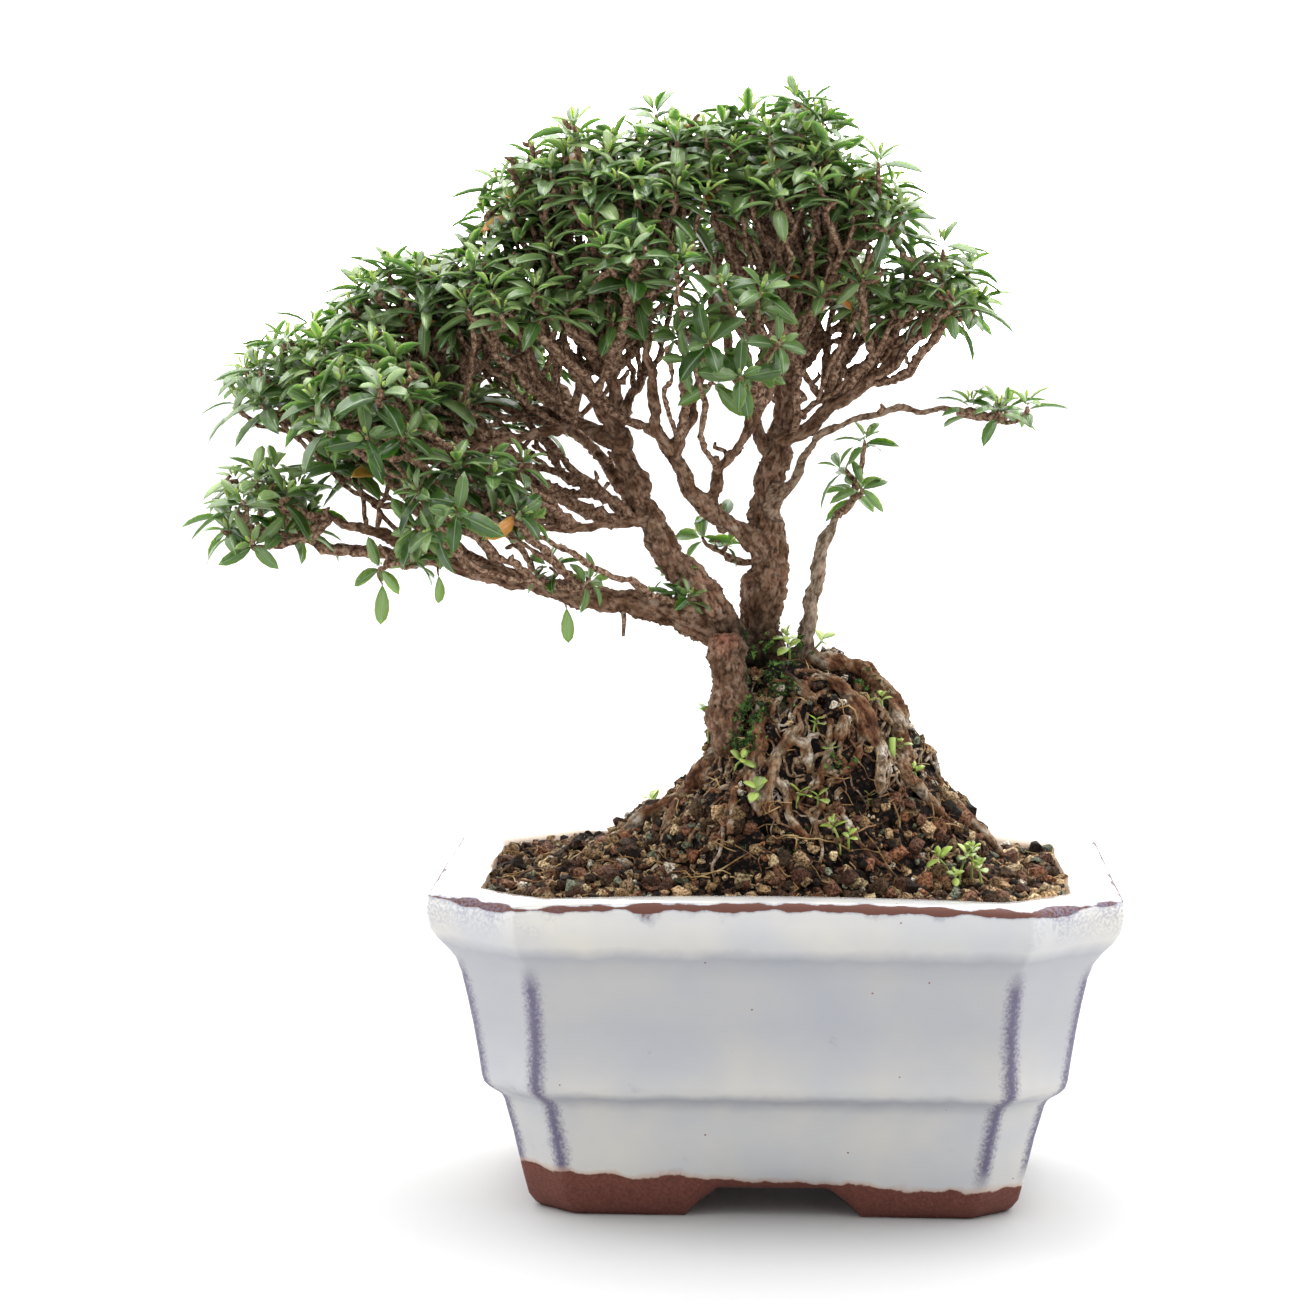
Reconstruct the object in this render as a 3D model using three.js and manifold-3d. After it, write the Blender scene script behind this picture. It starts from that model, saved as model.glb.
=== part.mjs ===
// A serissa bonsai in a glazed pot with chamfered corners, in millimetres, +Z up.
// The pot stands on four corner feet and holds gritty soil heaped into a mound. The tree is one woody
// piece: roots that clasp the mound, two trunks, limbs and boughs. Each leafy spray is a solid of its own
// at the end of a bough, and two seedlings grow in the soil.
import * as THREE from "three";
import { mergeVertices } from "three/addons/utils/BufferGeometryUtils.js";
import Module from "manifold-3d";

const wasm = await Module();
wasm.setup();

// ---- Driving dimensions ----
const GAP = 0.3; // between solids that touch
const HOLE_GAP = 0.38; // round wood and stems where they stand in the soil
const SLIVER = 0.1; // edges and steps under this are smoothed away after a join
const POT_WIDTH = 160;
const POT_DEPTH = 116;
const POT_HEIGHT = 77.5;
const RIM_WIDTH = 12; // flat top of the lip
const WALL = 5;
const FLOOR_TOP = 13; // inner floor of the pot
const SHOULDER = 59; // the cavity follows the pot's outside up to this height, then narrows to the lip
const LIP_CORNER = 22; // a corner's cut along the width, at the lip
const CHAMFER_DEPTH_SHARE = 0.8; // a corner's cut along the depth, as a share of its cut along the width
const FOOT = { height: 6.8, width: 13 };
const FRONT_GAP = [20.5, 12.7]; // half width between the feet, at the table and at the gap's top
const SIDE_GAP = [14, 8.5];
const DRAIN = { x: 32, radius: 6, sides: 12 }; // two drain holes, at +x and -x
const NET = { side: 19, bar: 2.2, thickness: 1, holes: 3 }; // the plastic net over each drain hole

// The soil's bed: its level at the wall, its rise towards the middle, the height of its grit, the number
// of larger stones, and the squares of its surface across the width and the depth.
const SOIL = { edge: 75, heap: 14, grit: 0.9, stones: 20, squares: [15, 11] };

// The mound under the roots: its middle, its depth as a share of its width, less in the skirt, and its
// outline as radius and height.
const MOUND = {
  at: [5, 1, 79],
  depth: 0.88,
  skirtDepth: 0.8,
  skirtTop: 6,
  sides: 14,
  outline: [[0, -22], [58, -22], [52, -4], [45, 2], [39, 9], [34, 17], [29, 27], [25, 38], [18, 45],
    [9, 48], [0, 48]],
};
const MOUND_TOP = MOUND.at[2] + MOUND.outline.at(-1)[1];

// Leaves grow in whorls. `widest` is where a leaf is widest, as a share of its length. A whorl's leaves
// rise at `lift` degrees, uneven by half of `uneven` either way, and its middle sits `seat` off its twig.
const LEAF = { length: 12.5, width: 5.8, thickness: 0.9, widest: 0.55, notch: 1.5, fold: 0.6, seat: 1.3 };
const LIFT = { angle: 28, uneven: 30 };
const GOLDEN = Math.PI * (3 - Math.sqrt(5));
const UP = new THREE.Vector3(0, 0, 1);

// The pot's outside from the table up: height, half width, and the corner's cut along the width.
const POT_PROFILE = [
  [0, 55, 9],
  [3, 57.6, 10],
  [13, 59.4, 10.5],
  [27, 63.2, 11.5],
  [32.5, 67.2, 13],
  [45, 69.6, 15.5],
  [SHOULDER, 72.2, 17],
  [64, 75.4, 19],
  [68.5, 79, 21],
  [74.5, POT_WIDTH / 2, LIP_CORNER],
  [POT_HEIGHT, 79.2, 21.6],
];

// ---- Woody lines: points from base to tip, with the radius at each end ----
const TRUNKS = {
  core: { r: [9, 7], at: [[-3, 0, 99], [-4, -1, 113], [-5, 0, 125], [-5, 0, 134]] },
  trunk_right: {
    r: [6, 3.3],
    at: [[-3, 2, 119], [-4, 2, 135], [-2, 3, 149], [-3, 4, 162], [-1, 5, 174], [2, 4, 182]],
  },
  trunk_left: {
    r: [5, 2.6],
    at: [[-7, -3, 125], [-13, -7, 136], [-18, -9, 145], [-27, -10, 155], [-33, -7, 168], [-38, -5, 183]],
  },
  stump: { r: [4.4, 4.2], at: [[-8, -11, 137], [-8, -14, 129], [-8.5, -16, 119], [-12, -17, 109]] },
};
const LIMBS = {
  leader: { r: [2.6, 1.3], at: [[2, 4, 181], [3, 6, 193], [6, 6, 205], [5, 4, 222], [4, 2, 234]] },
  top_mid: { r: [2, 1.2], at: [[-1, 5, 173], [-6, 8, 184], [-10, 10, 195], [-15, 10, 210], [-18, 8, 221]] },
  right_up: { r: [1.9, 1.1], at: [[3, 6, 192], [5, 0, 203], [9, -2, 213], [13, -4, 220]] },
  back_right: { r: [2, 1.2], at: [[-1, 6, 174], [0, 14, 186], [0, 24, 200], [-3, 32, 213]] },
  crown_left: { r: [2.3, 1.2], at: [[-38, -5, 183], [-40, -6, 195], [-42, -6, 206], [-45, -3, 218]] },
  peak_left: { r: [1.8, 1.1], at: [[-40, -6, 193], [-46, -3, 203], [-54, 0, 215]] },
  mid_left: {
    r: [2.4, 1.1],
    at: [[-37, -6, 178], [-50, 1, 184], [-63, 3, 187], [-79, 1, 189], [-90, -2, 190], [-98, -4, 190]],
  },
  back_left: { r: [2.6, 1.2], at: [[-29, -9, 158], [-37, 4, 168], [-46, 16, 177], [-57, 26, 185]] },
  front_left: { r: [1.8, 1], at: [[-47, 0, 183], [-58, -12, 181], [-70, -23, 178], [-80, -30, 178]] },
  low_left: {
    r: [3.5, 1.2],
    at: [[-10, -5, 132], [-17, -8, 135], [-27, -12, 140], [-48, -18, 144], [-67, -22, 149],
      [-79, -24, 153], [-92, -26, 159], [-103, -25, 162]],
  },
  low_front: { r: [1.6, 1], at: [[-31, -9, 161], [-40, -15, 160], [-50, -22, 160], [-58, -29, 160]] },
  cross: {
    r: [3, 1.2],
    at: [[-3, 3, 153], [-13, -2, 161], [-21, -8, 169], [-27, -13, 181], [-29, -20, 194], [-30, -25, 204]],
  },
  cross_up: { r: [1.9, 1], at: [[-15, -3, 164], [-14, -5, 172], [-9, -9, 179], [-6, -16, 187]] },
  right: { r: [2.4, 1.1], at: [[1, 4, 179], [10, 2, 184], [16, 0, 189], [24, -2, 196], [32, -4, 203]] },
  right_back: { r: [1.5, 1], at: [[11, 2, 185], [14, 8, 194], [17, 14, 202]] },
  long_right: {
    r: [1.5, 0.9],
    at: [[-1, 3, 163], [4, -4, 171], [8, -9, 178], [15, -13, 184], [26, -15, 187], [42, -16, 187]],
  },
  stem_right: { r: [2, 1.5], at: [[4, -3, 121], [7, -4, 133], [9, -5, 145], [12, -6, 156], [15, -6, 162]] },
};
const ROOTS = {
  left: {
    r: [2.8, 1.4],
    at: [[-9, -8, 119], [-21, -7, 107], [-28, -5, 98], [-34, -3, 91], [-40, -1, 84], [-44, 0, 78]],
  },
  loop: { r: [2, 1.3], at: [[4, -16, 122], [-1, -23, 112], [-4, -27, 103], [-2, -32, 93], [-1, -29, 86]] },
  fork: { r: [2, 1.3], at: [[10, -20, 116], [4, -26, 106], [1, -30, 96], [4, -35, 88], [6, -32, 82]] },
  ridge: {
    r: [3.4, 1.8],
    at: [[0, -3, 127], [12, -5, 129], [24, -4, 125], [30, -7, 115], [31, -12, 103], [30, -10, 95]],
  },
  right: { r: [2.4, 1.2], at: [[27, 2, 116], [34, 2, 103], [40, 0, 94], [49, -3, 87], [54, -4, 80]] },
  centre: {
    r: [2.2, 1.3],
    at: [[12, -14, 123], [20, -19, 116], [24, -20, 106], [27, -26, 94], [27, -21, 87]],
  },
  face_right: {
    r: [1.9, 1.2],
    at: [[14, -12, 125], [25, -12, 118], [31, -12, 107], [35, -14, 96], [34, -11, 88]],
  },
  face_left: {
    r: [2, 1.2],
    at: [[-10, -12, 120], [-14, -19, 107], [-12, -25, 97], [-17, -29, 87], [-17, -26, 81]],
  },
  face_across: {
    r: [1.7, 1.1],
    at: [[-5, -16, 117], [-3, -21, 114], [8, -25, 108], [18, -24, 103], [28, -20, 98], [31, -14, 94]],
  },
  brow: { r: [2, 1.3], at: [[-4, -8, 131], [2, -16, 124], [10, -20, 120], [14, -16, 115]] },
  back: { r: [2.8, 1.4], at: [[-3, 10, 125], [-6, 22, 112], [-9, 30, 99], [-12, 38, 87], [-13, 34, 80]] },
  back_right: {
    r: [2.6, 1.4],
    at: [[8, 10, 126], [22, 20, 116], [29, 27, 103], [35, 33, 89], [36, 29, 82]],
  },
  back_left: {
    r: [2.4, 1.4],
    at: [[-8, 6, 121], [-20, 13, 108], [-27, 19, 97], [-34, 26, 85], [-36, 24, 78]],
  },
};

// ---- Foliage: domes of leaf whorls, each carried by its limb between the shares `start` and `end` ----
const PADS = [
  { name: "top", limb: "top_mid", at: [-19, 6, 238], r: [18, 21, 16], whorls: 14 },
  { name: "peak", limb: "leader", at: [5, 0, 244], r: [10, 15, 13], whorls: 7 },
  { name: "right_dome", limb: "right_up", at: [20.5, -7, 228], r: [10, 16, 13], whorls: 7 },
  { name: "upper_left", limb: "crown_left", at: [-43, -2, 233], r: [16, 20, 17], whorls: 11 },
  { name: "peak_left", limb: "peak_left", at: [-60, 3, 230], r: [10, 15, 13], whorls: 6 },
  { name: "front", limb: "cross", at: [-30, -32.5, 212], r: [16, 12, 16], whorls: 9 },
  { name: "middle", limb: "crown_left", at: [-60, -25, 206], r: [13, 11, 12],
    whorls: 7, start: 0.3, end: 0.5 },
  { name: "shoulder", limb: "mid_left", at: [-86, -2, 206], r: [18, 18, 15], whorls: 11, end: 0.9 },
  { name: "far_left", limb: "mid_left", at: [-115.5, -5, 191], r: [13, 16, 13], whorls: 8, start: 0.8 },
  { name: "front_left", limb: "front_left", at: [-93, -38, 184], r: [13, 12, 12], whorls: 7 },
  { name: "low_left", limb: "low_left", at: [-119, -22, 161], r: [11, 14, 11], whorls: 7, start: 0.84 },
  { name: "low_mid", limb: "low_left", at: [-94, -12, 171], r: [12, 12, 10],
    whorls: 4, start: 0.7, end: 0.78 },
  { name: "low_front", limb: "low_front", at: [-69, -41, 165], r: [15, 12, 12], whorls: 7 },
  { name: "back_left", limb: "back_left", at: [-73, 37, 199], r: [20, 15, 14], whorls: 8 },
  { name: "back_right", limb: "back_right", at: [-6, 40, 226], r: [19, 14, 15], whorls: 8 },
  { name: "right", limb: "right", at: [36, -4, 209], r: [11, 15, 12], whorls: 7 },
  { name: "right_inner", limb: "right_back", at: [21, 17, 208], r: [10, 11, 10], whorls: 4 },
  { name: "right_tip", limb: "long_right", at: [52, -16, 184], r: [6, 8, 6], whorls: 3 },
  { name: "stem", limb: "stem_right", at: [18, -6, 169], r: [4, 4, 8], whorls: 2 },
  { name: "drop", limb: "cross_up", at: [-8, -33, 196], r: [10, 9, 12], whorls: 5 },
  { name: "heart", limb: "top_mid", at: [-34, 16, 200], r: [12, 12, 12], whorls: 4, start: 0.3, end: 0.4 },
  { name: "inner_low", limb: "back_left", at: [-66, 8, 180], r: [12, 10, 9],
    whorls: 4, start: 0.5, end: 0.62 },
  { name: "tuft", limb: "low_left", at: [-47, -31, 147], r: [6, 4, 5], whorls: 2, start: 0.34, end: 0.36 },
  { name: "low_tuft", limb: "low_left", at: [-89, -36, 153], r: [6, 4, 5],
    whorls: 2, start: 0.6, end: 0.62 },
];
const PAD = {
  skirt: -0.3, // how far below its middle a pad's lowest twigs end, as a share of its height
  inner: 0.86, // every other twig stops at this share of the pad's radius
  inside: 0.8, // a twig that ends this far inside another pad is left out
  under: 4, // unless it ends this far below that pad's middle
  start: 0.55,
  end: 0.96,
};
const SPRAY = { whorls: 4, stem: 13, stemShare: 0.55, fork: 0.3 };
const STEM_RADIUS = [0.9, 0.65];
const TWIG_RADIUS = [0.75, 0.6];
const BOUGH_RADIUS = [1.15, 0.85];
const SEEDLINGS = {
  seedling_right: { foot: [44, -30, 70], top: [46, -32, 86], r: [0.6, 0.45], leaves: 5, size: 0.42 },
  seedling_front: { foot: [15, -32, 80], top: [13, -36, 95], r: [0.55, 0.4], leaves: 4, size: 0.36 },
};

const COLOURS = {
  glaze: { color: 0xe4e6e8, roughness: 0.18, metalness: 0 },
  soil: { color: 0x3a2a1f, roughness: 0.95, metalness: 0 },
  bark: { color: 0x7b5f4b, roughness: 0.9, metalness: 0 },
  leaf: { color: 0x3f6b33, roughness: 0.42, metalness: 0 },
  sprout: { color: 0x7fb63f, roughness: 0.5, metalness: 0 },
  net: { color: 0x2a2c2b, roughness: 0.6, metalness: 0 },
};

// ---- Solids ----
function solidOf(geometry) {
  const bare = geometry.index ? geometry.toNonIndexed() : geometry.clone();
  for (const name of Object.keys(bare.attributes)) if (name !== "position") bare.deleteAttribute(name);
  const merged = mergeVertices(bare, 1e-3);
  const vertProperties = merged.attributes.position.array;
  const triVerts = new Uint32Array(merged.index.array);
  const made = new wasm.Manifold(new wasm.Mesh({ numProp: 3, vertProperties, triVerts }));
  if (made.volume() > 0) return made;
  triVerts.reverse();
  return new wasm.Manifold(new wasm.Mesh({ numProp: 3, vertProperties, triVerts }));
}

function geometryOf(solid) {
  const mesh = solid.getMesh();
  const positions = new Float32Array(mesh.numVert * 3);
  for (let i = 0; i < mesh.numVert; i++) {
    positions.set(mesh.vertProperties.subarray(i * mesh.numProp, i * mesh.numProp + 3), i * 3);
  }
  const geometry = new THREE.BufferGeometry();
  geometry.setAttribute("position", new THREE.BufferAttribute(positions, 3));
  geometry.setIndex(new THREE.BufferAttribute(new Uint32Array(mesh.triVerts), 1));
  return geometry;
}

const joined = (solids) => wasm.Manifold.union(solids);
const largestBody = (solid) => solid.decompose().sort((a, b) => b.volume() - a.volume())[0];
// One body without slivers: short edges and flat splits left by a join are taken out.
const tidied = (solid) => largestBody(solidOf(geometryOf(solid)).simplify(SLIVER));
const vector = (list) => new THREE.Vector3(...list);
const fraction = (value) => value - Math.floor(value);
const sumOf = (vectors) => vectors.reduce((sum, v) => sum.add(v), new THREE.Vector3());
const meanOf = (vectors) => sumOf(vectors).divideScalar(vectors.length);

// A cylinder bent along a curve, with its radius changing evenly from one end to the other.
function limbSolid(curve, [startRadius, endRadius], sides, segments, grow = 0) {
  const geometry = new THREE.CylinderGeometry(1, 1, 1, sides, segments);
  const frames = curve.computeFrenetFrames(segments);
  const position = geometry.attributes.position;
  for (let i = 0; i < position.count; i++) {
    const step = Math.round((position.getY(i) + 0.5) * segments);
    const share = step / segments;
    const radius = startRadius + (endRadius - startRadius) * share + grow;
    const point = curve.getPointAt(share)
      .addScaledVector(frames.normals[step], position.getX(i) * radius)
      .addScaledVector(frames.binormals[step], position.getZ(i) * radius);
    position.setXYZ(i, point.x, point.y, point.z);
  }
  return solidOf(geometry);
}

const curveOf = (line) => new THREE.CatmullRomCurve3(line.at.map(vector), false, "centripetal");

// ---- Pot ----
// An eight-sided ring of the pot's outline, moved in by an inset, as points in order round the pot.
function potOutline(halfWidth, cut, inset) {
  const x = halfWidth - inset;
  const y = halfWidth - POT_WIDTH / 2 + POT_DEPTH / 2 - inset;
  const cutX = Math.max(cut - inset * 0.45, 2);
  const cutY = cutX * CHAMFER_DEPTH_SHARE;
  return [[x, -y + cutY], [x, y - cutY], [x - cutX, y], [-x + cutX, y],
    [-x, y - cutY], [-x, -y + cutY], [-x + cutX, -y], [x - cutX, -y]];
}

// Rings are [height, half width, corner cut, inset], from the bottom up.
function potLoft(rings) {
  const geometry = new THREE.CylinderGeometry(1, 1, 1, 8, rings.length - 1);
  const position = geometry.attributes.position;
  for (let i = 0; i < position.count; i++) {
    const [z, halfWidth, cut, inset] = rings[Math.round((position.getY(i) + 0.5) * (rings.length - 1))];
    const onAxis = Math.hypot(position.getX(i), position.getZ(i)) < 0.5;
    const corner = Math.round((Math.atan2(position.getX(i), position.getZ(i)) / (2 * Math.PI)) * 8 + 8) % 8;
    const [x, y] = onAxis ? [0, 0] : potOutline(halfWidth, cut, inset)[corner];
    position.setXYZ(i, x, y, z);
  }
  return solidOf(geometry);
}

const lipRing = (z, clearance) => [z, POT_WIDTH / 2, LIP_CORNER, RIM_WIDTH + clearance];
// The opening inside the lip, between two heights.
const lipShaft = (low, high) => potLoft([lipRing(low, GAP), lipRing(high, GAP)]);

// The pot's profile at a height, held at the shoulder's above it.
function profileAt(z) {
  const height = Math.min(z, SHOULDER);
  const next = Math.max(POT_PROFILE.findIndex(([level]) => level >= height), 1);
  const [a, b] = [POT_PROFILE[next - 1], POT_PROFILE[next]];
  const share = (height - a[0]) / (b[0] - a[0]);
  return [a[1] + (b[1] - a[1]) * share, a[2] + (b[2] - a[2]) * share];
}

// Rings of the pot's inside, moved in by a clearance.
function cavityRings(clearance, top) {
  const walls = [FLOOR_TOP + clearance, 27, 48, 65].map((z) => [z, ...profileAt(z), WALL + clearance]);
  return [...walls, lipRing(top, clearance)];
}

// The gap between two feet, cut right through along the depth, or turned to run along the width.
function footGap([halfBottom, halfTop], alongWidth) {
  const corners = [[-halfBottom, -1], [halfBottom, -1], [halfTop, FOOT.height], [-halfTop, FOOT.height]];
  const shape = new THREE.Shape(corners.map(([x, y]) => new THREE.Vector2(x, y)));
  const geometry = new THREE.ExtrudeGeometry(shape, { depth: 2 * POT_WIDTH, bevelEnabled: false });
  geometry.translate(0, 0, -POT_WIDTH).rotateX(Math.PI / 2);
  if (alongWidth) geometry.rotateZ(Math.PI / 2);
  return solidOf(geometry);
}

function drainHole(x) {
  const { radius, sides } = DRAIN;
  const geometry = new THREE.CylinderGeometry(radius, radius, FLOOR_TOP + FOOT.height, sides);
  return solidOf(geometry.rotateX(Math.PI / 2).translate(x, 0, FLOOR_TOP));
}

function makePot() {
  const body = potLoft(POT_PROFILE.map((ring) => [...ring, 0]));
  const [, halfWidth, cut] = POT_PROFILE[1];
  const under = potLoft([-1, FOOT.height].map((z) => [z, halfWidth, cut + 2, FOOT.width]));
  const cuts = [potLoft(cavityRings(0, POT_HEIGHT + 1)), under, footGap(FRONT_GAP, false),
    footGap(SIDE_GAP, true), drainHole(-DRAIN.x), drainHole(DRAIN.x)];
  return cuts.reduce((pot, cutter) => pot.subtract(cutter), body);
}

// A square net with square holes, lying on the floor over a drain hole.
function makeNet(x) {
  const pitch = (NET.side - NET.bar) / NET.holes;
  const hole = pitch - NET.bar;
  const plate = solidOf(new THREE.BoxGeometry(NET.side, NET.side, NET.thickness));
  const places = Array.from({ length: NET.holes }, (_, i) => (i - (NET.holes - 1) / 2) * pitch);
  const holes = places.flatMap((u) => places.map((v) => solidOf(
    new THREE.BoxGeometry(hole, hole, 2 * NET.thickness).translate(u, v, 0))));
  return plate.subtract(joined(holes)).translate([x, 0, FLOOR_TOP + GAP + NET.thickness / 2]);
}

// ---- Soil ----
// Height of the soil's bed: level at the wall, heaped towards the middle, with the relief of coarse grit.
function soilHeight(x, y) {
  const reach = Math.min(Math.hypot(x / (POT_WIDTH / 2 - RIM_WIDTH), y / (POT_DEPTH / 2 - RIM_WIDTH)), 1);
  const heap = SOIL.heap * (0.5 + 0.5 * Math.cos(Math.PI * reach));
  const grit = Math.sin(x * 0.71 + 1.3 * Math.sin(y * 0.53))
    * Math.cos(y * 0.83 + 1.1 * Math.sin(x * 0.37));
  return SOIL.edge + heap + SOIL.grit * grit;
}

function bedSolid() {
  const bed = new THREE.BoxGeometry(POT_WIDTH, POT_DEPTH, 2, ...SOIL.squares, 1);
  const position = bed.attributes.position;
  for (let i = 0; i < position.count; i++) {
    const top = position.getZ(i) > 0;
    position.setZ(i, top ? soilHeight(position.getX(i), position.getY(i)) : 0);
  }
  return solidOf(bed);
}

function moundSolid() {
  const outline = MOUND.outline.map(([r, z]) => new THREE.Vector2(r, z));
  const geometry = new THREE.LatheGeometry(outline, MOUND.sides).rotateX(Math.PI / 2);
  const position = geometry.attributes.position;
  for (let i = 0; i < position.count; i++) {
    const [x, y, z] = [position.getX(i), position.getY(i), position.getZ(i)];
    const turn = Math.atan2(y, x);
    const lump = 1 + 0.05 * Math.sin(3 * turn + z * 0.11) + 0.04 * Math.cos(5 * turn - z * 0.17);
    const depth = z < MOUND.skirtTop ? MOUND.skirtDepth : MOUND.depth;
    position.setXYZ(i, x * lump, y * lump * depth, z);
  }
  return solidOf(geometry.translate(...MOUND.at));
}

// Stones lie along a golden spiral outside the mound and are half sunk in the soil.
function soilStones() {
  return Array.from({ length: SOIL.stones }, (_, i) => {
    const reach = 0.5 + 0.42 * Math.sqrt((i + 0.5) / SOIL.stones);
    const x = reach * (POT_WIDTH / 2 - RIM_WIDTH) * Math.cos(i * GOLDEN);
    const y = reach * (POT_DEPTH / 2 - RIM_WIDTH) * Math.sin(i * GOLDEN);
    const radius = 1.8 + 1.4 * fraction(i * 0.618);
    const geometry = new THREE.IcosahedronGeometry(radius, 0);
    geometry.rotateX(i * 1.7).rotateY(i * 0.9).scale(1.2, 0.95, 0.8);
    return solidOf(geometry.translate(x, y, soilHeight(x, y) + radius * 0.15));
  });
}

// The soil fills the pot's inside, less the holes that stems and roots stand in and the nets' pockets.
function makeSoil(stems, nets) {
  const inside = potLoft(cavityRings(GAP, POT_HEIGHT)).add(lipShaft(POT_HEIGHT - 1, MOUND_TOP + 1));
  const fill = joined([bedSolid(), moundSolid(), ...soilStones()]).intersect(inside);
  const side = NET.side + 2 * GAP;
  const height = NET.thickness + 2 * GAP;
  const pockets = nets.map((x) => solidOf(
    new THREE.BoxGeometry(side, side, 2 * height).translate(x, 0, FLOOR_TOP)));
  return tidied([...stems, ...pockets].reduce((soil, cutter) => soil.subtract(cutter), fill));
}

// ---- Wood ----
// Each woody line with the sides and segments of its solid.
const woodLines = [
  ...Object.values(TRUNKS).map((line) => ({ ...line, sides: 8, segments: 5 })),
  ...Object.values(LIMBS).map((line) => ({ ...line, sides: 5, segments: line.at.length })),
  ...Object.values(ROOTS).map((line) => ({ ...line, sides: 5, segments: line.at.length - 1 })),
];
const lineSolid = (line, grow = 0) => limbSolid(curveOf(line), line.r, line.sides, line.segments, grow);
const boughSolid = (spray) => limbSolid(spray.bough, BOUGH_RADIUS, 3, 3);
const makeWood = (sprays) => tidied(joined([
  ...woodLines.map((line) => lineSolid(line)),
  ...sprays.map(boughSolid),
]));

// The holes in the soil: each line that reaches into the mound, a gap larger all round.
function woodHoles() {
  const low = woodLines.filter((line) => line.at.some(([, , z]) => z < MOUND_TOP));
  return low.map((line) => lineSolid(line, HOLE_GAP));
}

// A bough leaves its limb along the limb and arrives at its spray along the spray.
function boughCurve(limb, share, end, direction) {
  const start = limb.getPointAt(share);
  const reach = start.distanceTo(end) * 0.38;
  const leave = start.clone().addScaledVector(limb.getTangentAt(share), reach);
  const arrive = end.clone().addScaledVector(direction, -reach);
  return new THREE.CubicBezierCurve3(start, leave, arrive, end);
}

// ---- Leaves ----
// The ends of a pad's twigs lie on its dome in a golden spiral, in two tiers; each looks out and up.
function tipsOf(pad) {
  const tips = Array.from({ length: pad.whorls }, (_, i) => {
    const height = 1 - ((1 - PAD.skirt) * (i + 0.35)) / pad.whorls;
    const reach = Math.sqrt(1 - height * height);
    const turn = i * GOLDEN + pad.at[0];
    const local = new THREE.Vector3(reach * Math.cos(turn), reach * Math.sin(turn), height);
    const axis = local.clone().addScaledVector(UP, 0.35).normalize();
    const tier = i % 2 === 1 ? PAD.inner : 1;
    const at = local.multiply(vector(pad.r)).multiplyScalar(tier).add(vector(pad.at));
    return { at, axis, turn: turn % (2 * Math.PI) };
  });
  return tips.filter((tip) => PADS.every((other) => {
    if (other === pad) return true;
    const inside = tip.at.clone().sub(vector(other.at)).divide(vector(other.r)).length();
    return inside > PAD.inside || tip.at.z < other.at[2] - PAD.under;
  }));
}

// A pad is cut in sectors like a cake. Each sector is a spray, on a bough from the pad's limb.
function spraysOf(pad) {
  const limb = curveOf(LIMBS[pad.limb]);
  const tips = tipsOf(pad).sort((a, b) => a.turn - b.turn);
  const count = Math.ceil(tips.length / SPRAY.whorls);
  const [from, to] = [pad.start ?? PAD.start, pad.end ?? PAD.end];
  return Array.from({ length: count }, (_, i) => {
    const [first, last] = [i, i + 1].map((edge) => Math.round((edge * tips.length) / count));
    const mine = tips.slice(first, last);
    const top = meanOf(mine.map((tip) => tip.at));
    const share = to - ((to - from) * i) / count;
    const outward = top.clone().sub(limb.getPointAt(share));
    const stem = Math.min(SPRAY.stem, outward.length() * SPRAY.stemShare);
    const direction = meanOf(mine.map((tip) => tip.axis)).multiplyScalar(0.4)
      .addScaledVector(outward.normalize(), 0.8).addScaledVector(UP, 0.2).normalize();
    const root = top.clone().addScaledVector(direction, -stem);
    const bough = boughCurve(limb, share, root.clone().addScaledVector(direction, -1.1 * GAP), direction);
    return { name: `spray_${pad.name}_${i + 1}`, tips: mine, root, direction, bough };
  });
}

// A whorl of pointed leaves round a twig's end, folded along their midribs. The outline is one ring of
// points, four to a leaf: notch, side, tip, side. The hub's two poles give the leaves their thickness.
function whorlSolid(twig, { leaves, size, bend, turn }) {
  const points = leaves * 4;
  const geometry = new THREE.SphereGeometry(1, points, 2);
  const position = geometry.attributes.position;
  const frame = new THREE.Quaternion().setFromUnitVectors(UP, twig.axis);
  const half = Math.atan2(LEAF.width / 2, LEAF.length * LEAF.widest);
  const first = turn + twig.at.z;
  const hub = new THREE.Vector3(-LEAF.seat * Math.cos(first), -LEAF.seat * Math.sin(first), 0);
  for (let i = 0; i < position.count; i++) {
    const point = new THREE.Vector3(0, 0, Math.sign(position.getY(i)) * LEAF.thickness);
    if (Math.abs(position.getY(i)) < 0.5) {
      const around = Math.atan2(position.getZ(i), -position.getX(i)) / (2 * Math.PI) + 1;
      const step = Math.round(around * points) % points;
      const [leaf, spot] = [Math.floor(step / 4), step % 4];
      const random = fraction(0.618 * (leaf * 3 + twig.index) + twig.at.x);
      const length = LEAF.length * size * (0.88 + 0.24 * random);
      const reach = [LEAF.notch, length * LEAF.widest, length, length * LEAF.widest][spot];
      const rise = THREE.MathUtils.degToRad(LIFT.angle + bend + LIFT.uneven * (fraction(random * 7) - 0.5));
      const angle = first + (2 * Math.PI * leaf) / leaves + [-Math.PI / leaves, -half, 0, half][spot];
      point.set(Math.cos(angle) * Math.cos(rise), Math.sin(angle) * Math.cos(rise), Math.sin(rise));
      point.multiplyScalar(reach).addScaledVector(UP, (spot % 2) * LEAF.fold);
    }
    position.setXYZ(i, ...point.add(hub).applyQuaternion(frame).add(twig.at).toArray());
  }
  return solidOf(geometry);
}

const boxed = (solid) => ({ solid, box: solid.boundingBox() });

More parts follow.
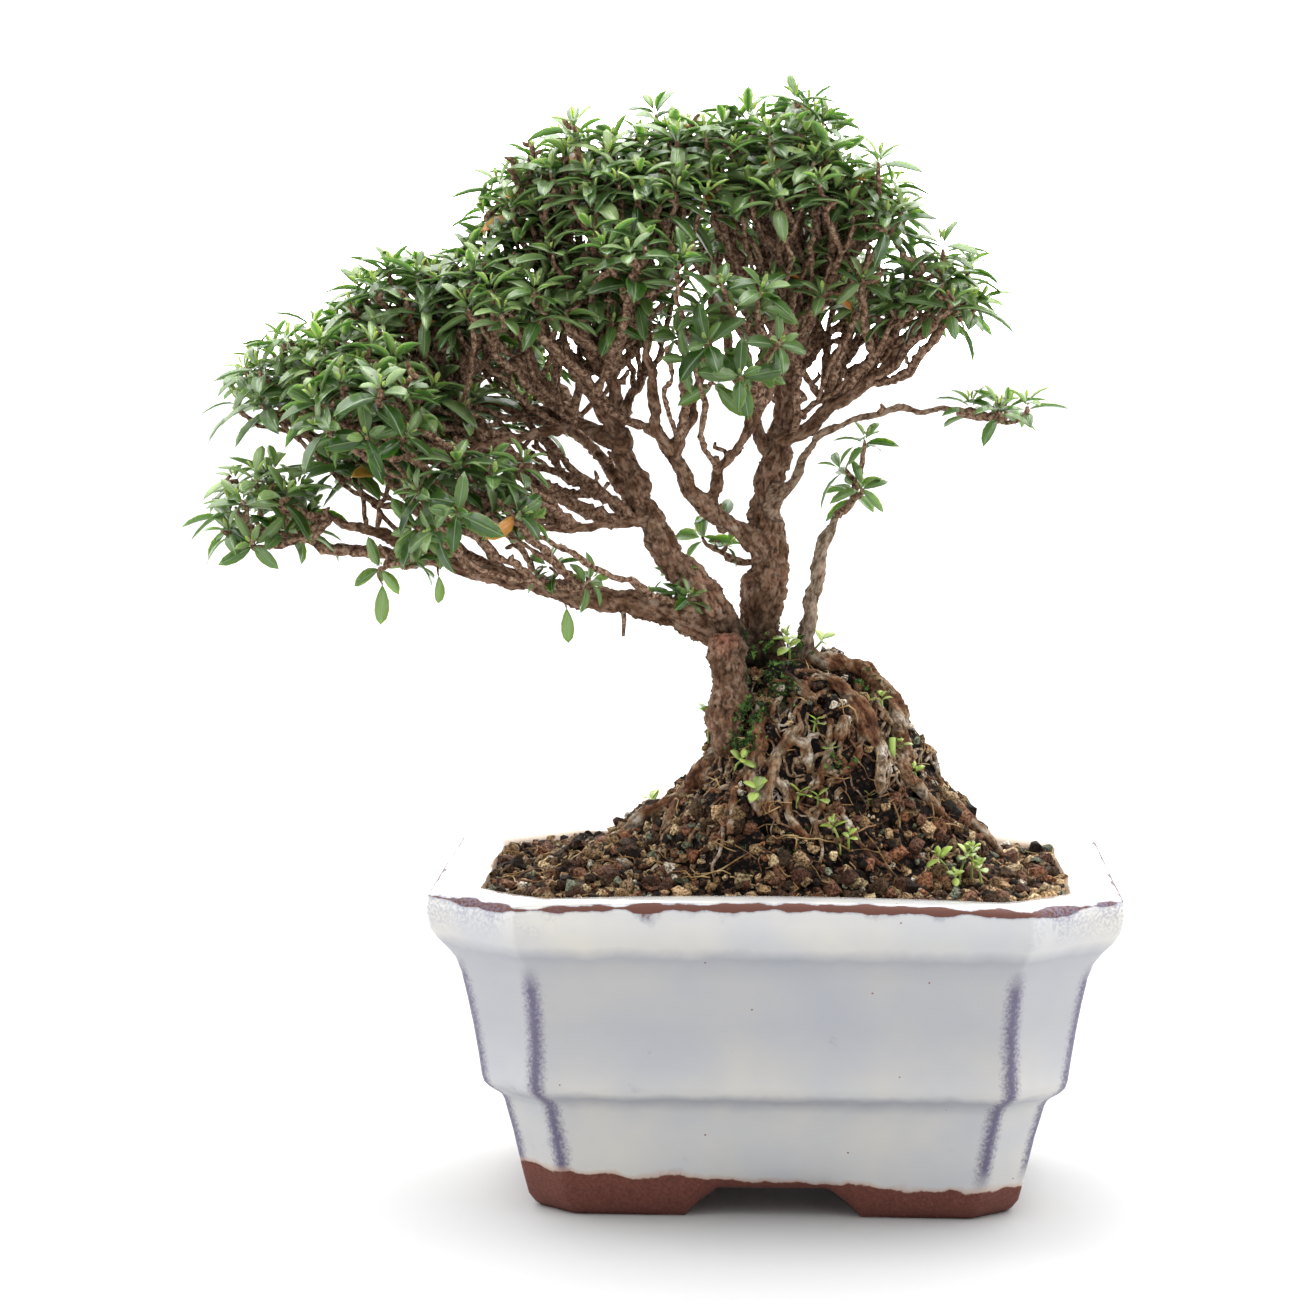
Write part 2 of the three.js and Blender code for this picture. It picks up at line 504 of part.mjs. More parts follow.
function crosses(solid, others) {
  const box = solid.boundingBox();
  return others.some((other) => {
    const [a, b] = [box, other.box];
    const apart = [0, 1, 2].some((k) => a.max[k] + GAP < b.min[k] || b.max[k] + GAP < a.min[k]);
    return !apart && solid.minGap(other.solid, 2 * GAP) < GAP;
  });
}

// The first of several attempts whose solid is clear of the others, if one is.
function firstClear(attempts, make, others) {
  for (const attempt of attempts) {
    const made = make(attempt);
    if (!crosses(made.solid, others)) return [made];
  }
  return [];
}

// A spray's first twig is its stem; the others fork from it.
function twigCurve(spray, tip, stem) {
  const start = stem ? stem.getPointAt(SPRAY.fork) : spray.root;
  const reach = start.distanceTo(tip.at) * 0.45;
  const leave = start.clone().addScaledVector(spray.direction, reach);
  const arrive = tip.at.clone().addScaledVector(tip.axis, -reach * 0.7);
  return new THREE.CubicBezierCurve3(start, leave, arrive, tip.at);
}

// A twig that would cross something ends a little aside.
function makeTwigs(spray, others) {
  const twigs = [];
  for (const [index, tip] of spray.tips.entries()) {
    const make = (n) => {
      const [across, along] = [Math.cos(n * GOLDEN), Math.sin(n * GOLDEN)];
      const aside = new THREE.Vector3(across, along, 0).multiplyScalar(n * 0.7);
      const moved = { at: tip.at.clone().add(aside), axis: tip.axis };
      const curve = twigCurve(spray, moved, twigs[0]?.curve);
      const shape = twigs.length ? [TWIG_RADIUS, 3, 2] : [STEM_RADIUS, 4, 3];
      return { ...moved, curve, index, solid: limbSolid(curve, ...shape) };
    };
    twigs.push(...firstClear([0, 1, 2, 3, 4, 5, 6], make, others));
  }
  return twigs;
}

// What a whorl tries until it is clear: fewer or smaller leaves, bent up or down, in six turns each.
function whorlTries(leaves) {
  const sizes = [[leaves, 1], [leaves, 0.88], [4, 0.95], [leaves, 0.76], [4, 0.8], [3, 0.95], [3, 0.8],
    [2, 0.8]];
  return sizes.flatMap(([number, size]) => [0, 10, -10].flatMap((bend) => [0, 1, 2, 3, 4, 5].map((step) => (
    { leaves: number, size, bend, turn: (step * 2 * Math.PI) / (6 * number) }))));
}

// All twigs come first. Then each spray in turn gets its leaves, clear of every other stem and leaf.
function makeSprays(sprays, wood) {
  const stems = [boxed(wood)];
  for (const spray of sprays) {
    spray.twigs = makeTwigs(spray, stems);
    stems.push({ ...boxed(joined(spray.twigs.map((twig) => twig.solid))), spray });
  }
  const placed = [];
  for (const spray of sprays) {
    const others = [...stems.filter((stem) => stem.spray !== spray), ...placed];
    const whorls = [];
    for (const twig of spray.twigs) {
      const make = (attempt) => boxed(whorlSolid(twig, attempt));
      whorls.push(...firstClear(whorlTries(4 + (twig.index % 2)), make, [...others, ...whorls]));
    }
    spray.solid = tidied(joined([...spray.twigs, ...whorls].map((part) => part.solid)));
    placed.push(boxed(spray.solid));
  }
}

// A seedling is a short stem with one whorl of small leaves.
function seedlingStem({ foot, top, r }, grow = 0) {
  return limbSolid(new THREE.LineCurve3(vector(foot), vector(top)), r, 4, 1, grow);
}

function makeSeedling(seedling) {
  const axis = vector(seedling.top).sub(vector(seedling.foot)).normalize();
  const twig = { at: vector(seedling.top), axis, index: 0 };
  return tidied(seedlingStem(seedling).add(whorlSolid(twig, { ...seedling, bend: 0, turn: 0 })));
}

// ---- The whole ----
const bonsai = new THREE.Group();

function addNode(name, solid, finish) {
  const mesh = new THREE.Mesh(geometryOf(solid), new THREE.MeshStandardMaterial(COLOURS[finish]));
  mesh.name = name;
  bonsai.add(mesh);
}

const sprays = PADS.flatMap(spraysOf);
const wood = makeWood(sprays);
makeSprays(sprays, wood);
const seedlingHoles = Object.values(SEEDLINGS).map((seedling) => seedlingStem(seedling, HOLE_GAP));

addNode("pot", makePot(), "glaze");
addNode("net_left", makeNet(-DRAIN.x), "net");
addNode("net_right", makeNet(DRAIN.x), "net");
addNode("soil", makeSoil([...woodHoles(), ...seedlingHoles], [-DRAIN.x, DRAIN.x]), "soil");
addNode("wood", wood, "bark");
for (const [name, seedling] of Object.entries(SEEDLINGS)) addNode(name, makeSeedling(seedling), "sprout");
for (const spray of sprays) addNode(spray.name, spray.solid, "leaf");

// The origin is on the table, under the middle of the whole bonsai.
const box = new THREE.Box3().setFromObject(bonsai);
bonsai.position.set(-(box.min.x + box.max.x) / 2, -(box.min.y + box.max.y) / 2, 0);

export default bonsai;
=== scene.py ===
# %% [markdown]
# # A serissa bonsai in its glazed pot
#
# A serissa is grown in a small pot for decades: its trunks thicken, its roots clasp a mound of grit, and
# its shoots are pinched until the crown is a cloud of small pointed leaves. This lesson dresses the packed
# solids of such a tree. Every piece is modelled in the pot's own frame, in millimetres, and moved to its
# place in metres as the last step, so that a number here is a size on the real object.
#
# The order is the order of growth: the pot, the soil, the wood, the grit and small roots on the mound, the
# twigs and then the leaves. The leaves come last because each shoot needs a twig to stand on.

# %% The frame
import math
import random
from collections import namedtuple

import bmesh
import bpy
from mathutils import Matrix, Quaternion, Vector, kdtree, noise
from mathutils.bvhtree import BVHTree


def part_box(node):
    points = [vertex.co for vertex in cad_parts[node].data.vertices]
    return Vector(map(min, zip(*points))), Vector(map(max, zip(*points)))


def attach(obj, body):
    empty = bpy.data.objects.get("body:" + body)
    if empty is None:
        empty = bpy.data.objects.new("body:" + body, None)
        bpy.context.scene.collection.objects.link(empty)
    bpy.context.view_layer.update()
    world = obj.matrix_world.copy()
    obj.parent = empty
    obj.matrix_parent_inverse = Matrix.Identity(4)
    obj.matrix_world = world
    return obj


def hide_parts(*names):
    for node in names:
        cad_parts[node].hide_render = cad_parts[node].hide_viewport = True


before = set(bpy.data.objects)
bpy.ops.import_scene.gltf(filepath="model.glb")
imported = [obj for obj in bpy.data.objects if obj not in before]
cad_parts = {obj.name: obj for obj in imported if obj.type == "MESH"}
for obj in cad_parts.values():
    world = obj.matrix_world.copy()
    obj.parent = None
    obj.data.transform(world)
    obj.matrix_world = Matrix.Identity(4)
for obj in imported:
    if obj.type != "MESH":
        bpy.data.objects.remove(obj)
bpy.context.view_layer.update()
pot_low, pot_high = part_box("pot")
POT_MIDDLE = Vector(((pot_low.x + pot_high.x) / 2, (pot_low.y + pot_high.y) / 2, 0))
MM = 0.001
NOISE_SEED = 4
noise.seed_set(NOISE_SEED)  # noise_vector starts from the clock otherwise
print("pot stands at", tuple(round(v / MM, 2) for v in POT_MIDDLE))

# %% [markdown]
# ## Helpers
#
# Colours are written as sRGB hex, as a colour picker gives them, and one function turns them to the linear
# values that Blender's shaders work in. A second function adds a shader node with its settings and links,
# so that a material reads as a list of what its surface does. Pieces are built as bmeshes, and the last
# function here turns a finished one into a piece that rides on the tree's body.

# %% Colour, node and piece helpers
BODY = "root"
FACTOR, A, B = 0, 6, 7  # sockets of a colour Mix node
OUTPUTS = {"Mix": 2, "SeparateXYZ": slice(3), "SeparateColor": slice(3)}  # other kinds: the first output
PITTED_GLOSS = 0.2  # soil and bark shine less than their IOR says, because their pits hold the light
UP = Vector((0, 0, 1))
FULL_TURN = 6.28  # radians, for turns picked at random


def linear(hex_colour):
    """An sRGB hex colour as linear red, green, blue and alpha."""
    shares = [int(hex_colour[i:i + 2], 16) / 255 for i in (1, 3, 5)]
    return [s / 12.92 if s <= 0.04045 else ((s + 0.055) / 1.055) ** 2.4 for s in shares] + [1.0]


def add(tree, kind, links=(), stops=(), out=None, **settings):
    """Adds a shader node and gives its output. Links are outputs or plain values, by socket or in order."""
    made = tree.nodes.new("ShaderNode" + kind)
    if kind == "Mix":
        made.data_type = "RGBA"
    for name, value in settings.items():
        setattr(made, name, value)
    for position, colour in stops:
        made.color_ramp.elements.new(position).color = linear(colour)
    if stops:
        made.color_ramp.elements.remove(made.color_ramp.elements[0])
        made.color_ramp.elements.remove(made.color_ramp.elements[-1])
    for socket, value in links.items() if isinstance(links, dict) else enumerate(links):
        if isinstance(value, bpy.types.NodeSocket):
            tree.links.new(value, made.inputs[socket])
        else:
            made.inputs[socket].default_value = value
    if made.outputs:
        return made.outputs[OUTPUTS.get(kind, 0) if out is None else out]


def make_material(surface):
    """A material named after the function that works out its surface. The function gets the node tree and
    the place on the piece in millimetres, and gives the inputs of the Principled shader."""
    material = bpy.data.materials.new(surface.__name__)
    material.use_nodes = True
    tree = material.node_tree
    tree.nodes.clear()
    in_metres = add(tree, "TexCoord", out="Object")
    place = add(tree, "VectorMath", {0: in_metres, "Scale": 1 / MM}, operation="SCALE")
    shader = add(tree, "BsdfPrincipled", surface(tree, place))
    add(tree, "OutputMaterial", {"Surface": shader})
    return material


def clamp(value):
    """The value held between 0 and 1."""
    return min(max(value, 0), 1)


def toss(lot, spread=1.0):
    """A vector thrown at random, from the random source given."""
    return Vector([lot.gauss(0, spread) for _ in range(3)])


def shade_smooth(bm):
    """Lets the light run over every face without a crease."""
    for face in bm.faces:
        face.smooth = True


def relax(bm, verts, times):
    """Evens out a skin by moving each vertex towards its neighbours."""
    for _ in range(times):
        bmesh.ops.smooth_vert(bm, verts=verts, factor=0.5, use_axis_x=True, use_axis_y=True, use_axis_z=True)


def mesh_from(bm, name):
    """Turns a finished bmesh into a mesh."""
    mesh = bpy.data.meshes.new(name)
    bm.to_mesh(mesh)
    bm.free()
    return mesh


def new_object(name, data):
    """An object in the scene, unturned at the origin."""
    made = bpy.data.objects.new(name, data)
    bpy.context.scene.collection.objects.link(made)
    return made


def finish_piece(bm, name, material, nodes=()):
    """Moves a bmesh from the pot's millimetres to its place in metres and makes it a piece of the tree."""
    bmesh.ops.scale(bm, vec=(MM, MM, MM), verts=bm.verts)
    bmesh.ops.translate(bm, vec=POT_MIDDLE, verts=bm.verts)
    piece = new_object(name, mesh_from(bm, name))
    piece.data.materials.append(material)
    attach(piece, BODY)
    if nodes:
        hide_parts(*nodes)
    print(name, sum(len(p.vertices) - 2 for p in piece.data.polygons), "triangles")
    return piece


# %% [markdown]
# ## The pot
#
# The pot is slab-built or press-moulded stoneware: a rectangle with cut corners, a heavy lip, a small step
# low on the body, and feet left between four cut gaps. A box with bevels would give flat walls. Here one
# ring of vertices starts as a circle and is moved onto a rounded octagon, then extruded up the outside,
# over the lip and down the inside, with every new ring moved to its own outline. That is how a loft works,
# and it keeps the corners' edges in line so that the thin glaze on them can be painted along the same
# columns. At the end every vertex wanders a little, because no hand-made wall is flat, and the lip bows up
# as it did in drying.

# %% The pot's measures
POT_SLIM = 22  # half the width less half the depth
CUT_DEPTH_SHARE = 0.8
WALL_PROFILE = [  # height, half width, corner's cut, from the table up the outside
    (0, 55, 9), (1.2, 56.2, 9.4), (3, 57.4, 10), (8, 58.6, 10.3), (13, 59.7, 10.6), (19, 61.0, 11),
    (24, 62.3, 11.4), (26.8, 63.0, 11.7), (28.2, 63.7, 11.9), (29.2, 64.9, 12.3), (30.4, 66.4, 12.8),
    (31.8, 67.5, 13.1), (33.6, 68.0, 13.5), (38, 68.6, 14.3), (45, 69.7, 15.5), (52, 71.0, 16.5),
    (58, 72.3, 17.2), (61.5, 73.6, 18), (64.2, 75.6, 19.2), (66.5, 77.7, 20.4), (69, 79.2, 21.3),
    (72, 79.9, 21.9), (75.2, 80, 22), (76.5, 79.6, 21.9), (77.3, 78.7, 21.6), (77.5, 77.4, 21),
]
LIP_HEIGHT = 77.5  # the next list goes on from here, over the lip and down the inside
RIM_PROFILE = [
    (LIP_HEIGHT, 73, 19.5), (77.2, 69.5, 18), (76.4, 68.2, 17.6), (74.5, 67.6, 17.3), (62, 67.4, 17.2),
    (57, 66.9, 16), (33, 62.5, 12), (14, 54.5, 9), (13, 53.5, 8.6),
]
FOOT_HEIGHT, FOOT_WIDTH = 6.8, 13
LONG_GAP = (20.5, 12.7)  # half width of the front and back gaps, at the table and at their top
SHORT_GAP = (14, 8.5)
FOOT_CURVE = 0.8  # below 1 the cut gaps are rounded at their top
SIDE_MARGIN = 5  # columns end this far from a corner
CORNER_RADIUS = 2.4
CORNER_STEPS = 5
GLAZE_RUN = 3.0  # how far from a corner's edge the glaze is thin
SQUEEZE_BELOW = 13  # lower rings move up over the cut gaps
DRAIN_AT, DRAIN_RADIUS = 32, 6
HAND_WAVE = 0.35  # how far hand-made walls wander
RIM_MARKS = {75.2: 0.3, 76.5: 1.0, 77.3: 0.5, 77.5: 0.2}  # how near a height is to the lip's worn edge
LIP_BOW, BOW_FROM, BOW_REACH = 1.3, 60, 58  # rise of the long sides, lowest height, half its length
WAVE_SCALE = 0.03  # one wave of a wall in about 33 mm


def gap_columns(gap, reach):
    """Places along a side from its middle: where a gap's slope is cut, and evenly out to the corner."""
    near, far = gap[1], gap[0]
    slope = [near + (far - near) * k / 4 for k in range(5)]
    right = [near / 3, near * 2 / 3] + slope + [far + (reach - far) / 3, far + (reach - far) * 2 / 3]
    return [-v for v in reversed(right)] + [0] + right


def foot_rise(along, gap):
    """Height of the pot's lower edge at a place along a side."""
    return FOOT_HEIGHT * clamp((gap[0] - abs(along)) / (gap[0] - gap[1])) ** FOOT_CURVE


def pot_ring(half_width, cut):
    """The rounded octagon as (x, y, nearness to a corner's edge, rise of the lower edge)."""
    half_depth, cut_y = half_width - POT_SLIM, cut * CUT_DEPTH_SHARE
    quarter = [Vector((half_width - cut, -half_depth)), Vector((half_width, cut_y - half_depth))]
    corners = quarter + [Vector((v.x, -v.y)) for v in reversed(quarter)]
    corners += [Vector((-v.x, -v.y)) for v in corners]
    ring = []
    for i, corner in enumerate(corners):
        before, after = corners[i - 1], corners[(i + 1) % 8]
        come, leave = (corner - before).normalized(), (after - corner).normalized()
        turn = come.angle(leave)
        tangent = CORNER_RADIUS * math.tan(turn / 2)
        centre = corner + (leave - come).normalized() * (CORNER_RADIUS / math.cos(turn / 2))
        start = corner - come * tangent - centre
        for k in range(CORNER_STEPS):
            arm = Matrix.Rotation(turn * k / (CORNER_STEPS - 1), 2) @ start
            ring.append((*(centre + arm), 1 - abs(k / (CORNER_STEPS - 1) - 0.5) * 0.5, 0))
        length = (after - corner).length
        first, last = tangent + GLAZE_RUN, length - tangent - GLAZE_RUN
        if i % 2 == 0:
            middle_places = [(v, 0) for v in (length / 3, length / 2, length * 2 / 3)]
        else:
            gap = LONG_GAP if i in (3, 7) else SHORT_GAP
            columns = gap_columns(gap, length / 2 - SIDE_MARGIN)
            middle_places = [(length / 2 + v, foot_rise(v, gap)) for v in columns]
        for along, rise in [(first, 0)] + middle_places + [(last, 0)]:
            ring.append((*(corner + leave * along), 0, rise))
    return ring


# %% The pot's walls, lip and feet
def shape_ring(verts, ring, height, marks, rim=0.0, inner=0.0):
    """Moves a ring of vertices to its outline, squeezing low rings above the cut gaps."""
    for vert, (x, y, edge, rise) in zip(verts, ring):
        if height < SQUEEZE_BELOW and not inner:
            vert.co = (x, y, rise + height * (SQUEEZE_BELOW - rise) / SQUEEZE_BELOW)
        else:
            vert.co = (x, y, height)
        vert[marks] = (edge, rim, inner, 1)


def extrude_ring(bm, edges):
    """Extrudes a closed ring and gives its new vertices in the old order, with its new edges."""
    made = bmesh.ops.extrude_edge_only(bm, edges=edges)["geom"]
    verts = [g for g in made if isinstance(g, bmesh.types.BMVert)]
    return verts, [g for g in made if isinstance(g, bmesh.types.BMEdge)]


pot = bmesh.new()
glaze_marks = pot.verts.layers.float_color.new("glaze_marks")
bottom_ring = pot_ring(*WALL_PROFILE[0][1:])
bmesh.ops.create_circle(pot, segments=len(bottom_ring), radius=50)
first_verts, first_edges = list(pot.verts), list(pot.edges)
shape_ring(first_verts, bottom_ring, 0, glaze_marks)
verts, edges = first_verts, first_edges
for height, half_width, cut in WALL_PROFILE[1:]:
    verts, edges = extrude_ring(pot, edges)
    shape_ring(verts, pot_ring(half_width, cut), height, glaze_marks, rim=RIM_MARKS.get(height, 0.0))
for height, half_width, cut in RIM_PROFILE:
    verts, edges = extrude_ring(pot, edges)
    shape_ring(verts, pot_ring(half_width, cut), height, glaze_marks, inner=1.0)
floor_height = RIM_PROFILE[-1][0]

inner_x = WALL_PROFILE[0][1] - FOOT_WIDTH
inner_y = inner_x - POT_SLIM
verts, edges = extrude_ring(pot, first_edges)
for vert, (x, y, edge, rise) in zip(verts, bottom_ring):
    vert.co = (min(max(x, -inner_x), inner_x), min(max(y, -inner_y), inner_y), rise)
verts, edges = extrude_ring(pot, edges)
for vert in verts:
    vert.co.z = FOOT_HEIGHT
bmesh.ops.remove_doubles(pot, verts=pot.verts, dist=0.02)
print("pot rings of", len(bottom_ring), "columns")

# %% The pot's floor and drain holes
for side in (-1, 1):
    loops = []
    for height in (FOOT_HEIGHT, floor_height):
        turned = Matrix.Translation((side * DRAIN_AT, 0, height))
        made = bmesh.ops.create_circle(pot, segments=24, radius=DRAIN_RADIUS, matrix=turned)["verts"]
        loops += dict.fromkeys(e for v in made for e in v.link_edges)
    bmesh.ops.bridge_loops(pot, edges=loops)
for height in (FOOT_HEIGHT, floor_height):
    rim = [e for e in pot.edges if e.is_boundary and all(abs(v.co.z - height) < 0.01 for v in e.verts)]
    bmesh.ops.triangle_fill(pot, use_beauty=True, edges=rim)
for vert in pot.verts:
    wave = noise.noise_vector(vert.co * WAVE_SCALE) * HAND_WAVE
    high = max(vert.co.z - BOW_FROM, 0) / (LIP_HEIGHT - BOW_FROM)
    bow = LIP_BOW * high * max(1 - (vert.co.x / BOW_REACH) ** 2, 0)
    vert.co += Vector((wave.x, wave.y, bow))
bmesh.ops.recalc_face_normals(pot, faces=pot.faces)
shade_smooth(pot)
print("open edges left in the pot:", sum(1 for e in pot.edges if not e.is_manifold))

# %% [markdown]
# ## The glaze
#
# Glazed stoneware: a brown clay body fired under a thick cream-white glaze. Molten glaze runs off edges and
# gathers in hollows, so it is blue-grey and deep under the lip and below the step, thin and purple along
# the corners, and broken to the brown body in a worn line along the lip's outer edge. On the lip it is
# mottled blue-grey towards the corners, and wet soil has stained it ochre inside. The feet were wiped bare,
# and bare clay is matte. Heights give the pools, and the marks painted on the vertices above give the
# edges. The heights also grey the panel, partly with the glaze's own blue-grey and partly as painted shade
# under the lip. They keep the band below the step pale, as painted light where the floor's shadow falls.

# %% Glazed stoneware
def glazed_stoneware(tree, place):
    """Cream-white glaze over brown clay, gloss from the fired glass and none on the bare feet."""
    across, _, height = add(tree, "SeparateXYZ", [place])
    marks = add(tree, "Attribute", attribute_name="glaze_marks")
    edge, rim, inner = add(tree, "SeparateColor", [marks])
    clouds = add(tree, "TexNoise", {"Vector": place, "Scale": 1 / 26, "Detail": 3})
    flecks = add(tree, "TexNoise", {"Vector": place, "Scale": 1 / 0.7, "Detail": 4})
    drips = add(tree, "TexNoise", {"Vector": place, "Scale": 1 / 7, "Detail": 4})

    body = add(tree, "ValToRGB", [clouds],
               stops=[(0.34, "#d2cfc7"), (0.5, "#cac9c7"), (0.68, "#c0c2c6")])
    # Pools: the glaze is deepest under the lip and under the step. The same ramp greys the whole panel
    # between them, partly with the glaze's own blue-grey and partly as painted shade under the lip. It keeps
    # the band below the step pale, as painted light where the floor's shadow falls.
    wavering = add(tree, "Math", [drips, 3.0, -1.5], operation="MULTIPLY_ADD")
    level = add(tree, "Math", [height, wavering], operation="ADD")
    pool = add(tree, "MapRange", {"Value": level, "From Max": 80})  # share of 80 mm up the pot
    depth = add(tree, "ValToRGB", [pool], stops=[
        (0.17, "#101010"), (0.25, "#404040"), (0.33, "#686868"), (0.375, "#f0f0f0"), (0.4, "#181818"),
        (0.47, "#a0a0a0"), (0.6, "#d0d0d0"), (0.74, "#c8c8c8"), (0.785, "#d8d8d8"), (0.81, "#f0f0f0"),
        (0.85, "#202020"), (0.92, "#000000"), (0.945, "#505050")])
    pool_and_shade_share = add(tree, "Math", [depth, 0.85], operation="MULTIPLY")
    pooled_and_shaded = add(tree, "Mix", {FACTOR: pool_and_shade_share, A: body, B: linear("#9598a3")})

    # Thin glaze: purple and speckled along the corners, where the body shows through.
    edge_run = add(tree, "MapRange", {"Value": level, "From Min": 63, "From Max": 57})
    edge_low = add(tree, "MapRange", {"Value": level, "From Min": 7, "From Max": 13})
    edge_span = add(tree, "Math", [edge_run, edge_low], operation="MULTIPLY")
    edge_fleck = add(tree, "Math", [flecks, 0.9, -0.4], operation="MULTIPLY_ADD")
    edge_sum = add(tree, "Math", [edge, edge_fleck], operation="ADD")
    edge_thin = add(tree, "MapRange", {"Value": edge_sum, "From Min": 0.2, "From Max": 1.0},
                    interpolation_type="SMOOTHSTEP")
    edge_share = add(tree, "Math", [edge_thin, edge_span], operation="MULTIPLY")
    streaked = add(tree, "Mix", {FACTOR: edge_share, A: pooled_and_shaded, B: linear("#645e78")})

    # The lip's outer edge: glaze broken through to the brown body, with a purple fringe.
    rim_drips = add(tree, "Math", [drips, 1.5, clouds], operation="MULTIPLY_ADD")
    rim_even = add(tree, "Math", [rim_drips, 0.87], operation="SUBTRACT")
    rim_sum = add(tree, "Math", [rim_even, rim], operation="ADD")
    fringe = add(tree, "MapRange", {"Value": rim_sum, "From Min": 0.76, "From Max": 1.05})
    fringe_fleck = add(tree, "Math", [fringe, flecks], operation="MULTIPLY")
    fringed = add(tree, "Mix", {FACTOR: fringe_fleck, A: streaked, B: linear("#5a5a78")})
    line = add(tree, "MapRange", {"Value": rim_sum, "From Min": 0.96, "From Max": 1.08},
               interpolation_type="SMOOTHSTEP")
    lined = add(tree, "Mix", {FACTOR: line, A: fringed, B: linear("#5c3327")})

    # Blue-grey mottling of the lip towards its corners, and the ochre stain that wet soil leaves inside it.
    to_side = add(tree, "Math", [across, POT_MIDDLE.x / MM], operation="SUBTRACT")
    aside = add(tree, "Math", [to_side], operation="ABSOLUTE")
    patchy = add(tree, "Math", [drips, 60, aside], operation="MULTIPLY_ADD")
    to_corner = add(tree, "MapRange", {"Value": patchy, "From Min": 82, "From Max": 104})
    on_lip = add(tree, "MapRange", {"Value": level, "From Min": 68, "From Max": 75})
    mottled = add(tree, "ValToRGB", [flecks], stops=[(0.42, "#000000"), (0.56, "#ffffff")])
    lip_corner = add(tree, "Math", [to_corner, on_lip], operation="MULTIPLY")
    mottle_share = add(tree, "Math", [lip_corner, mottled], operation="MULTIPLY")
    mottle_half = add(tree, "Math", [mottle_share, 0.55], operation="MULTIPLY")
    cornered = add(tree, "Mix", {FACTOR: mottle_half, A: lined, B: linear("#777c98")})
    stain_level = add(tree, "Math", [drips, 0.5, height], operation="MULTIPLY_ADD")
    stain = add(tree, "MapRange", {"Value": stain_level, "From Min": 77.7, "From Max": 77.4})
    stain_in = add(tree, "Math", [stain, inner], operation="MULTIPLY")
    stain_share = add(tree, "Math", [stain_in, 0.6], operation="MULTIPLY")
    overlaid = add(tree, "Mix", {FACTOR: stain_share, A: cornered, B: linear("#a9824e")})

    # Pinholes, where gas burst through the glaze.
    to_hole, lot = add(tree, "TexVoronoi", {"Vector": place, "Scale": 1 / 5.5}, out=slice(2))
    pin = add(tree, "MapRange", {"Value": to_hole, "From Min": 0.055, "From Max": 0.03})
    rare = add(tree, "SeparateColor", [lot], out=0)
    chosen = add(tree, "Math", [rare, 0.6], operation="GREATER_THAN")
    pin_share = add(tree, "Math", [pin, chosen], operation="MULTIPLY")
    pinned = add(tree, "Mix", {FACTOR: pin_share, A: overlaid, B: linear("#7d5236")})

    # Bare clay below the line that the glaze stopped at, which runs lower to the right.
    stop_line = add(tree, "Math", [across, -0.044, 5.4], operation="MULTIPLY_ADD")
    stop_wave = add(tree, "Math", [drips, 5.0, stop_line], operation="MULTIPLY_ADD")
    over = add(tree, "Math", [height, stop_wave], operation="SUBTRACT")
    bare = add(tree, "MapRange", {"Value": over, "From Min": 2.7, "From Max": 2.2},
               interpolation_type="SMOOTHSTEP")
    tide = add(tree, "MapRange", {"Value": over, "From Min": 3.8, "From Max": 2.4})
    tide_share = add(tree, "Math", [tide, 0.55], operation="MULTIPLY")
    tided = add(tree, "Mix", {FACTOR: tide_share, A: pinned, B: linear("#b98a62")})
    clay = add(tree, "ValToRGB", [flecks],
               stops=[(0.3, "#55291f"), (0.5, "#653427"), (0.7, "#6f3d30"), (0.85, "#93705f")])
    colour = add(tree, "Mix", {FACTOR: bare, A: tided, B: clay})

    matte = add(tree, "Math", [bare, line], operation="MAXIMUM")
    roughness = add(tree, "MapRange", {"Value": matte, "To Min": 0.13, "To Max": 0.75})
    skin = add(tree, "Math", [flecks, matte], operation="MULTIPLY")
    waves = add(tree, "TexNoise", {"Vector": place, "Scale": 1 / 9, "Detail": 1})
    relief = add(tree, "Math", [skin, 0.35, waves], operation="MULTIPLY_ADD")
    bump = add(tree, "Bump", {"Height": relief, "Distance": 0.5 * MM, "Strength": 0.5})
    return {"Base Color": colour, "Roughness": roughness, "Normal": bump, "IOR": 1.52}


pot_piece = finish_piece(pot, "glazed_pot", make_material(glazed_stoneware), ["pot"])
pot_piece.data.set_sharp_from_angle(angle=math.radians(50))

# %% [markdown]
# ## The nets
#
# A square of plastic mesh lies over each drain hole and keeps the grit in. Their solids already have the
# right shape, so only the finish is added: black polyethylene, moulded, slightly greasy in its gloss.

# %% Moulded polyethylene
def moulded_polyethylene(tree, place):
    """Black netting, softly glossy with a faint moulding grain."""
    grain = add(tree, "TexNoise", {"Vector": place, "Scale": 1 / 0.6, "Detail": 2})
    colour = add(tree, "ValToRGB", [grain], stops=[(0.3, "#1d1f1e"), (0.7, "#2f3231")])
    bump = add(tree, "Bump", {"Height": grain, "Distance": 0.1 * MM, "Strength": 0.4})
    return {"Base Color": colour, "Normal": bump, "Roughness": 0.45}


net_finish = make_material(moulded_polyethylene)
for name in ("net_left", "net_right"):
    net_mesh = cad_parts[name].data
    net_mesh.materials.clear()
    net_mesh.materials.append(net_finish)
print("nets finished")
